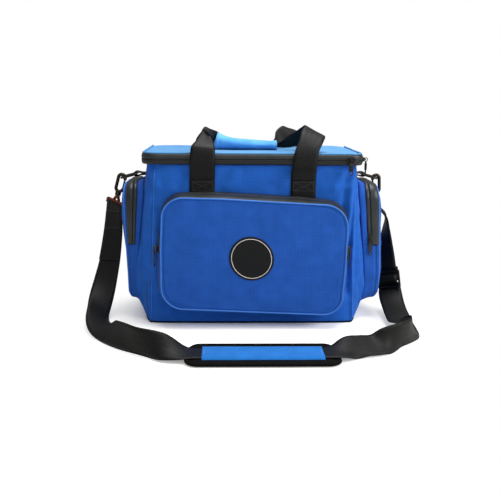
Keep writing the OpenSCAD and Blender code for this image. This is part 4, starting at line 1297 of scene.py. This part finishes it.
# %% [markdown]
# The face wraps round its edge from the band, then closes over a soft crown that
# is fuller towards the front. A flat sheet could be puffed up; here the arch
# above and the cup below join into rings, and the rings shrink to a pole.

# %% Face of a side pocket


def side_face(name, s):
    """The whole outer face with its wrapped edge, as one closed shell."""
    edge = BAND_END[s]
    up_part = [side_ring(s, (edge + (1 - edge) * k, inset), "arch", 0)
               for k, inset in ((0, 0.8), (0.25, 1.2), (0.55, 2), (0.8, 3.2), (1, 4.6))]
    low_part = [side_ring(s, r, "cup", 0)
                for r in ((0.76, 0.8), (0.9, 0.7), (0.965, 1.2), (0.99, 2.4), (1, 4.2))]
    rings = [np.concatenate([u, l[::-1][1:-1]]) for u, l in zip(up_part, low_part)]
    last = rings[-1]
    for k in (0.985, 0.95, 0.9, 0.82, 0.72, 0.6, 0.46, 0.32, 0.18, 0.03):
        ring = last.copy()
        ring[:, 1] = last[:, 1] * k
        ring[:, 2] = SIDE_ZIP_Z + (last[:, 2] - SIDE_ZIP_Z) * k
        middle = SIDE_OUT + (1 if s > 0 else -3)
        ring[:, 0] = s * (np.abs(last[:, 0]) * k + middle * (1 - k))
        bulge = CROWN * (0.35 * (1 - math.exp(-(1 - k) * 30)) + 0.65 * (1 - k ** 2))
        slack = rough(ring, (50, 50, 60), 1.4, 14 + s) + rough(ring, (22, 22, 26), 0.6, 16 + s)
        most = 6 if s > 0 else 6 * np.clip((ring[:, 2] - 120) / 80, 0, 1)
        fore = most * np.exp(-((ring[:, 1] + 48) / 24) ** 2) * (1 - ((ring[:, 2] - 150) / 130) ** 4)
        ring[:, 0] += s * (bulge + (fore + slack) * min(1, (1 - k) * 8))
        rings.append(ring)
    outer = np.array(rings)
    inner = outer.copy()
    inner[..., 0] -= s * 2.2
    inner[:4, :, 1] = outer[:4, :, 1] * 0.97
    inner[:4, :, 2] = SIDE_ZIP_Z + (outer[:4, :, 2] - SIDE_ZIP_Z) * 0.98
    return shell(name, outer, inner, wrap=True, pole=True)


print("crown of a side face:", CROWN, "mm")

# %% [markdown]
# Now both pockets are made: cloth next to the body, the zip band in two halves,
# the face, and an edging on the seam. Mirroring the right one would be shorter,
# but a bag's two sides never hang alike.

# %% Side pockets
for s, side in ((-1, "left"), (1, "right")):
    rows = [(0, -4), (0.1, -4.4), (0.2, -3.8), (0.32, -2.6)]
    gusset = side_band(side + "_gusset_upper", s, "arch", rows, 1.4)
    finish_piece(gusset, BLUE, "bag", "fabric_blue", side + "_gusset")
    rows += [(0.42, -1.8), (0.58, -0.8), (0.75, 0.6)]
    gusset = side_band(side + "_gusset_lower", s, "cup", rows, 1.8)
    finish_piece(gusset, BLUE, "bag", "fabric_blue")
    rows = [(0.32, -2.4), (0.34, -3.8), (0.39, -4.4), (0.45, -4.2), (0.505, -3.6)]
    band = side_band(side + "_band_inner", s, "arch", rows)
    finish_piece(band, BAND, "bag", "zip_band", side + "_inner_tape")
    rows = [(0.515 + (BAND_END[s] - 0.515) * k, inset)
            for k, inset in ((0, -3.6), (0.23, -3.8), (0.54, -3.6), (0.8, -2.6), (0.95, -1.2), (1, 0.7))]
    band = side_band(side + "_band_outer", s, "arch", rows)
    finish_piece(band, BAND, side + "_cover", "zip_band", side + "_outer_tape")
    face = side_face(side + "_face", s)
    finish_piece(face, BLUE, None, "fabric_blue", side + "_lower_face", side + "_flap")
    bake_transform(face)
    wrap_edge = side_ring(s, (0.985, 2.6), "arch", 0)
    low_edge = side_ring(s, (0.985, 2.2), "cup", 0)
    whole = np.concatenate([wrap_edge, low_edge[::-1][1:-1]])
    edging = tube(side + "_piping", whole + np.array([s * 0.4, 0, 0]), 1.3, closed=True)
    finish_piece(edging, EDGE, None, "fabric_light")
    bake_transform(edging)
print("side pockets: two, each with two bands, gusset, face and piping")

# %% [markdown]
# ## Handles
# Each handle is one webbing that rises from its seam, folds over and narrows
# into the grip. Its width changes and it twists, so it is given by both of its
# edges: pairs of points along the way, eased between.

# %% Edges of the handles
LEG_X, ANCHOR_Z = 96.5, 262
LEG_Y = HALF_D + 1.4
LEG_Z = 284.3
GRIP_X0, GRIP_X1, GRIP_LOW = -73.5, 51, 335
FRONT_EDGES = [
    ((-120.5, -116.4, 284.3), (-72.5, -116.4, 284.3)),
    ((-120, -120.4, 300), (-72, -120.4, 300)),
    ((-119.5, -127.5, 324), (-72, -127.5, 324)),
    ((-117, -124, 347), (-72, -124, 342)),
    ((-108, -108, 358), (-74, -114, 351)),
    ((-100, -88, 371), (-81, -102, 365)),
    ((-94, -62, 380), (-89, -92, 376)),
    ((-81, -34, 376), (-82, -52, 365)),
    ((-69, -16, 371), (-73, -20, 351)),
    ((-58, -5.5, 361), (-60, -5.5, 343)),
    ((-10, -5, 353), (-10, -5, 341.5)),
    ((38, -5.5, 350), (38, -5.5, 341)),
    ((56, -9, 350), (58, -10, 339.5)),
    ((73, -25, 361), (82, -20, 342)),
    ((94, -50, 380), (108, -40, 354)),
    ((102, -72, 387), (137, -60, 366)),
    ((93, -96, 377), (139, -92, 365)),
    ((87, -112, 361), (132, -112, 354)),
    ((78, -124, 339), (124, -124, 339)),
    ((75, -127, 318), (121, -127, 318)),
    ((72.5, -120.4, 300), (120.5, -120.4, 300)),
    ((72.5, -116.4, 284.3), (120.5, -116.4, 284.3))]
REAR_EDGES = [
    ((-120.5, 116.4, 284.3), (-72.5, 116.4, 284.3)),
    ((-120, 120.4, 300), (-72, 120.4, 300)),
    ((-119.5, 127.5, 324), (-72, 127.5, 324)),
    ((-117, 118, 347), (-71, 118, 342)),
    ((-104, 90, 366), (-74, 96, 356)),
    ((-96, 60, 377), (-82, 80, 370)),
    ((-84, 34, 374), (-82, 48, 362)),
    ((-70, 14, 370), (-72, 16, 351)),
    ((-58, 5.5, 361), (-60, 5.5, 343)),
    ((-10, 5, 353), (-10, 5, 341.5)),
    ((36, 5.5, 350), (36, 5.5, 341)),
    ((48, 9, 356), (53, 8, 339.5)),
    ((52, 22, 371), (67, 20, 351)),
    ((65, 34, 381), (86, 30, 365)),
    ((78, 60, 377), (106, 56, 364)),
    ((90, 95, 371), (138, 95, 356)),
    ((80, 118, 352), (127, 118, 347)),
    ((74, 127, 324), (122, 127, 324)),
    ((72.5, 120.4, 300), (120.5, 120.4, 300)),
    ((72.5, 116.4, 284.3), (120.5, 116.4, 284.3))]
print("handles:", len(FRONT_EDGES), "pairs in front,", len(REAR_EDGES), "behind")

# %% [markdown]
# The strips are built from those edges. The sewn ends are short straight strips on the walls, and ride on
# the bag.

# %% Handles


def edge_rings(rows, steps=8):
    """Frames along a strip given by both of its edges."""
    edges = [[np.array(row[k], float) for row in rows] for k in (0, 1)]
    last = (len(rows) - 1) * steps
    a, b = ([eased(edge, i / steps) for i in range(last + 1)] for edge in edges)
    rings = []
    for i in range(last + 1):
        middle, width = (a[i] + b[i]) / 2, b[i] - a[i]
        lo, hi = max(i - 1, 0), min(i + 1, last)
        along = unit(a[hi] + b[hi] - a[lo] - b[lo])
        across = unit(width)
        rings.append((middle, across, unit(np.cross(along, across)), np.linalg.norm(width), WEB_T))
    return rings


for edges, s, side in ((FRONT_EDGES, -1, "front"), (REAR_EDGES, 1, "rear")):
    handle = webbing_piece(side + "_handle", [edge_rings(edges)], side + "_handle")
    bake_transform(handle)

LEG_ZS = (250, 258, 266, 273, 280, LEG_Z)
runs = [strip_rings([((x * LEG_X, y * (LEG_Y + 0.2), z), (1, 0, 0)) for z in LEG_ZS], 2)
        for x in (-1, 1) for y in (-1, 1)]
webbing_piece("handle_anchors", runs, "handle_anchors", body="bag")
print("handles: two, and four sewn ends")

# %% [markdown]
# A soft wrap holds both handles together for the hand. It is thicker at its
# left end, where the folded webbing fills it, and closes with a lap. A tube
# with a changing height gives that, with lumps so that it looks stuffed.

# %% Grip wrap
GRIP_ROWS, GRIP_AROUND, GRIP_Y, GRIP_WALL = 40, 48, 9, 2.2
grip_outer, grip_inner = [], []
a = np.linspace(0, 2 * math.pi, GRIP_AROUND, endpoint=False)
out_way = np.stack([np.zeros(GRIP_AROUND), np.cos(a), np.sin(a)], 1)
lap_step = 0.9 * (1 / (1 + np.exp(-(a - 4.2) * 25)))
for u in np.linspace(0, 1, GRIP_ROWS):
    top = 353 + 17 * math.exp(-u / 0.3)
    tall, deep = (top - GRIP_LOW) / 2, 21 + 3 * math.sin(math.pi * u)
    x = GRIP_X0 + u * (GRIP_X1 - GRIP_X0) + 5.5 * math.exp(-9 * u) * np.sin(a)
    ring = np.stack([x, deep * np.cos(a) - GRIP_Y, GRIP_LOW + tall + tall * np.sin(a)], 1)
    flare = 0.6 * math.exp(-min(u, 1 - u) * 30)
    lumps = rough(ring, (34, 16, 16), 1.0, 20) + rough(ring, (12, 20, 9), 0.45, 21) + flare
    grip_outer.append(ring + out_way * (lumps + lap_step - 0.4)[:, None])
    grip_inner.append(ring - out_way * GRIP_WALL)
grip = shell("grip_wrap", grip_outer, grip_inner, wrap=True)
finish_piece(grip, GRIP, "rear_handle", "fabric_light", "grip_wrap")
print("grip wrap:", GRIP_X1 - GRIP_X0, "mm long")

# %% [markdown]
# ## The shoulder pad
# The pad is a flat piece of foam with a bound, rolled edge that lifts a little
# at the rear. It could be a rounded box with a bevel; rings with their own
# heights give the dip inside the binding as well.

# %% Shoulder pad
PAD_HALF_L, PAD_HALF_W, PAD_R = 133, 42, 24
BINDING_Z, BINDING_R = 4.4, 3.3
pad_rim = rounded(PAD_HALF_L - 3, PAD_HALF_W - 3, PAD_R - 3, 3)


def rolled(y):
    """How far the pad's rear edge lifts from the floor."""
    return 8 * np.maximum(0, (y - PAD_Y) / PAD_HALF_W) ** 3


PAD_PROFILE = [(0, 4), (0.6, 6.3), (2, 7.4), (4, 7.2), (6, 7.4), (9, 8.2), (13, 8.6), (20, 8.9), (30, 8.9),
               (38.5, 8.9)]
tops, unders = [], []
for inset, z in PAD_PROFILE:
    k = np.array([1 - inset / (PAD_HALF_L - 3), 1 - inset / (PAD_HALF_W - 3)])
    ring = at_height(pad_rim * k + (PAD_X, PAD_Y), z)
    ring[:, 2] += rough(ring, (40, 25, 30), 0.5, 22) * min(1, inset / 6) + rolled(ring[:, 1])
    tops.append(ring)
    bottom = ring.copy()
    bottom[:, 2] = 0.5 + 0.6 * rolled(ring[:, 1])
    unders.append(bottom)
pad = shell("shoulder_pad", tops, unders, wrap=True, pole=True)
finish_piece(pad, FOAM, "pad", "webbing", "shoulder_pad")
binding_path = rounded(PAD_HALF_L - 2.6, PAD_HALF_W - 2.6, PAD_R - 2.6, 3) + (PAD_X, PAD_Y)
binding_path = at_height(binding_path, BINDING_Z + rolled(binding_path[:, 1]))
binding = tube("pad_binding", binding_path, BINDING_R, closed=True, sides=14)
finish_piece(binding, FOAM, "pad", "webbing")
print("pad:", 2 * PAD_HALF_L, "x", 2 * PAD_HALF_W, "mm")

# %% [markdown]
# A sleeve of lighter cloth is sewn on the pad, and the strap runs through it.
# It is an arch over the strap, swept along the pad, and its ends stay open. The
# noise fades out there, so that the seams lie straight.

# %% Sleeve on the pad
SLEEVE_HALF, SLEEVE_T = 104, 1.4
xs = np.linspace(-SLEEVE_HALF, SLEEVE_HALF, 90)
rise = [(28.5, 8.9), (27.6, 9.6), (26, 11.2), (24.6, 12.4), (22, 13.1), (12, 13.4)]
across = [(-y, z) for y, z in rise] + [(0, 13.5)] + rise[::-1]
sleeve_top = np.array([[(PAD_X + x, PAD_Y + y, z) for x in xs] for y, z in across])
inside = np.clip((SLEEVE_HALF - np.abs(sleeve_top[..., 0] - PAD_X)) / 10, 0, 1)
sleeve_top[..., 2] += rough(sleeve_top, (45, 30, 30), 0.5, 23) * inside + rolled(sleeve_top[..., 1])
under = sleeve_top.copy()
under[..., 2] = np.maximum(under[..., 2] - SLEEVE_T, 8.6)
sleeve = shell("pad_sleeve", sleeve_top, under)
finish_piece(sleeve, STRIP, "pad", "fabric_light", "pad_strip")
print("sleeve:", 2 * SLEEVE_HALF, "mm long")

# %% [markdown]
# The two long runs of the strap are real lengths of something flexible; they are the strips made above, and
# nothing is added to them here.

# %% The strap's two long runs
print("strap: two long runs")

# %% [markdown]
# ## Stitches and zip teeth
# Both repeat along a line. Modelling each is slow and an Array modifier only
# follows one curve, so one node group makes them: it walks along the edges of a
# guide mesh and sets a small bar at every step.

# %% The node group for repeats
BAR_SIZES = {"Step": 0.004, "Bar Length": 0.003, "Bar Width": 0.0008, "Bar Height": 0.0006}


def repeat_group():
    """Bars along the edges of the guide, with the sizes as named inputs."""
    group = bpy.data.node_groups.new("bars_along_line", "GeometryNodeTree")
    socket = group.interface.new_socket
    socket("Guide", in_out="INPUT", socket_type="NodeSocketGeometry")
    for label, value in BAR_SIZES.items():
        socket(label, in_out="INPUT", socket_type="NodeSocketFloat").default_value = value
    socket("Paint", in_out="INPUT", socket_type="NodeSocketMaterial")
    socket("Bars", in_out="OUTPUT", socket_type="NodeSocketGeometry")
    given = node(group, "NodeGroupInput")
    curve = node(group, "GeometryNodeMeshToCurve", {"Mesh": given["Guide"]})["Curve"]
    even = node(group, "GeometryNodeResampleCurve", {"Curve": curve, "Length": given["Step"]}, mode="LENGTH")
    tangent = node(group, "GeometryNodeInputTangent")["Tangent"]
    turned = node(group, "FunctionNodeAlignRotationToVector", {"Vector": tangent}, axis="X")
    size = node(group, "ShaderNodeCombineXYZ",
                {"X": given["Bar Length"], "Y": given["Bar Width"], "Z": given["Bar Height"]})
    bar = node(group, "GeometryNodeMeshCube", {"Size": size["Vector"]})
    placed = node(group, "GeometryNodeInstanceOnPoints",
                  {"Points": even["Curve"], "Instance": bar["Mesh"], "Rotation": turned["Rotation"]})
    real = node(group, "GeometryNodeRealizeInstances", {"Geometry": placed["Instances"]})
    painted = node(group, "GeometryNodeSetMaterial",
                   {"Geometry": real["Geometry"], "Material": given["Paint"]})
    node(group, "NodeGroupOutput", {"Bars": painted["Geometry"]})
    return group


BARS = repeat_group()
print("group:", len(BARS.nodes), "nodes")

# %% [markdown]
# The group needs a guide: a mesh of edges only, made from lines of points. Its result is kept as a plain
# mesh instead of a live modifier, so that these pieces are painted and moved like all others.

# %% Bars along lines


def bars(name, lines, sizes, paint, body, slot):
    """Runs the group along lines, in millimetres, and keeps the result as a plain mesh."""
    points, edges = [], []
    for line in lines:
        start = len(points)
        points += (np.asarray(line, float) / 1000).tolist()
        edges += [(start + i, start + i + 1) for i in range(len(line) - 1)]
    guide_mesh = bpy.data.meshes.new(name + "_guide")
    guide_mesh.from_pydata(points, edges, [])
    guide = bpy.data.objects.new(name, guide_mesh)
    scene.collection.objects.link(guide)
    walk = guide.modifiers.new("bars", "NODES")
    walk.node_group = BARS
    sockets = {item.name: item.identifier for item in BARS.interface.items_tree if item.in_out == "INPUT"}
    for label, value in zip(BAR_SIZES, sizes):
        walk[sockets[label]] = value / 1000
    walk[sockets["Paint"]] = paint
    bpy.context.view_layer.update()
    made = bpy.data.meshes.new_from_object(guide.evaluated_get(bpy.context.evaluated_depsgraph_get()))
    guide.modifiers.clear()
    guide.data = made
    return finish_piece(guide, paint, body, slot)


print("sizes of a bar:", list(BAR_SIZES))

# %% [markdown]
# Pale stitches show where the bag is sewn by machine: a box with a cross on
# each end of a handle, a ring at both ends of the grip, and a row across each
# end of the sleeve. A bump would vanish from the side, so each is a real bar.

# %% Stitches


def box_x(x, y):
    """The stitched box with a cross on a handle's end."""
    w, lo, hi, out = 19, ANCHOR_Z + 2.5, ANCHOR_Z + 19, y * (LEG_Y + 1.5)
    a, b, c, d = ((x - w, out, lo), (x + w, out, lo), (x + w, out, hi), (x - w, out, hi))
    return [spaced(line, 2) for line in ([a, b], [b, c], [c, d], [d, a], [a, c], [b, d])]


lines = [line for x in (-LEG_X, LEG_X) for y in (-1, 1) for line in box_x(x, y)]
bars("stitches_anchors", lines, (3.2, 2.3, 0.7, 0.6), THREAD, "bag", "webbing")
ends = [grip_outer[i] + (0, 0, 0.15) for i in (2, GRIP_ROWS - 3)]
rings = [np.concatenate([e, e[:1]]) for e in ends]
bars("stitches_grip", rings, (3, 2.1, 0.7, 0.7), GRIP_THREAD, "rear_handle", "fabric_light")
seams = [np.array([(PAD_X + s * 100.5, PAD_Y + y, 14.0 - 0.006 * y * y) for y in np.linspace(-22, 22, 20)])
         for s in (-1, 1)]
bars("stitches_pad", seams, (3, 2.2, 0.6, 0.5), BLUE_THREAD, "pad", "fabric_light")
print("stitches: 3 pieces")

# %% [markdown]
# The zips are coil zips, almost hidden between the lips of their bands. What
# shows is a fine row of teeth, so the same bars run along the line between both
# halves of every band, short and across the way.

# %% Zip teeth
teeth_line = round_lid(-0.2, 2)
bars("lid_teeth", [at_height(teeth_line, ZIP_Z - 0.9)], (2, 0.9, 1.6, 0.6), TEETH, "bag", "zip_band")
teeth_line = sagged(front_ring((15.3, -7.2), "arch", 0))
bars("front_teeth", [teeth_line], (2, 0.9, 1.2, 0.5), TEETH, "bag", "zip_band")
for s, side in ((-1, "left"), (1, "right")):
    teeth_line = side_ring(s, (0.51, -3), "arch", 0)
    bars(side + "_teeth", [teeth_line], (2, 0.9, 0.5, 1.2), TEETH, "bag", "zip_band")
print("teeth: 4 runs")

# %% [markdown]
# ## Hardware
# The rings, hooks, gates, yokes, adjuster, sliders and pulls are exact already, with the edges and holes of
# the real ones. Making them again would gain nothing, so they keep their solids and get black metal, a
# little duller on the zips. The yokes get an orange-brown paint instead, a painted warm reflection on black
# metal, and the loose board in the base is dark grey.

# %% Hardware
zip_nodes = [name for name in frame["nodes"] if "slider" in name or "pull" in name]
strap_nodes = [name for name in frame["nodes"]
               if name.split("_")[-1] in ("ring", "hook", "gate", "adjuster") and name != "patch_ring"]
repaint(METAL, *strap_nodes)
repaint(ZIP_METAL, *zip_nodes)
# The yokes get the orange-brown paint, a painted warm reflection.
repaint(WARM_GLINT_METAL, "left_yoke", "right_yoke")
repaint(BOARD, "base_board")
print("hardware:", len(zip_nodes), "parts of zips,", len(strap_nodes), "of the strap and two yokes")

# %% [markdown]
# The lid's two pulls have soft tubes over their tongues, which are easier to
# grip with gloves. A rounded box would be close; a flat ring with soft corners
# swept down, and drawn in at both ends, looks moulded.

# %% Pull sleeves
SLEEVE_UP, SLEEVE_LONG, SLEEVE_WIDE, SLEEVE_DEEP = 7, 14.5, 4.4, 2.1


def softened(values):
    """A sine or cosine with its circle pushed towards a square."""
    return np.sign(values) * np.abs(values) ** 0.6


def pull_sleeve(name, middle, across, body):
    """A flat rounded sleeve that hangs round the tongue of a pull."""
    thin = np.cross(across, (0, 0, 1))
    a = np.linspace(0, 2 * math.pi, 24, endpoint=False)[:, None]
    rings = []
    for share in np.linspace(0, 1, 13):
        end = math.sqrt(1 - (2 * share - 1) ** 8) * 0.35 + 0.65
        centre = np.array(middle) + (0, 0, SLEEVE_UP - SLEEVE_LONG * share)
        side, flat = softened(np.cos(a)), softened(np.sin(a))
        rings.append(centre + SLEEVE_WIDE * end * side * across + SLEEVE_DEEP * end * flat * thin)
    outer = np.array(rings)
    inner = outer.mean(1, keepdims=True) + (outer - outer.mean(1, keepdims=True)) * 0.6
    return finish_piece(shell(name, outer, inner, wrap=True), RUBBER, body, "black_metal")


pull_sleeve("pull_sleeve_a", (185, -128.8, 310), np.array([1.0, 0, 0]), "lid_pull_a")
pull_sleeve("pull_sleeve_b", (219.3, -93, 310), np.array([0, 1.0, 0]), "lid_pull_b")
print("pull sleeves: 2")

# %% [markdown]
# Each ring sits in a tab of narrower webbing that is sewn on the side wall and
# goes round the ring. It is the same strip as the strap's, laid along the tab's
# outline seen from the side.

# %% Ring tabs
TAB_W, TAB_T = 28, 2.2
runs = []
for s in (-1, 1):
    start = float(side_x(0, 288)) - 1
    side_view = [(start, 286), (222, 286.2), (229, 287.7), (234, 288.3), (237.1, 287.1), (238.3, 284),
                 (237.1, 280.9), (234, 279.7), (229, 280.6), (222, 282.4), (start, 283)]
    runs.append(strip_rings([((s * x, tab_y(s), z), (0, 1, 0), TAB_W, TAB_T) for x, z in side_view], 5))
webbing_piece("ring_tabs", runs, "ring_tabs", body="bag")
print("ring tabs: 2")
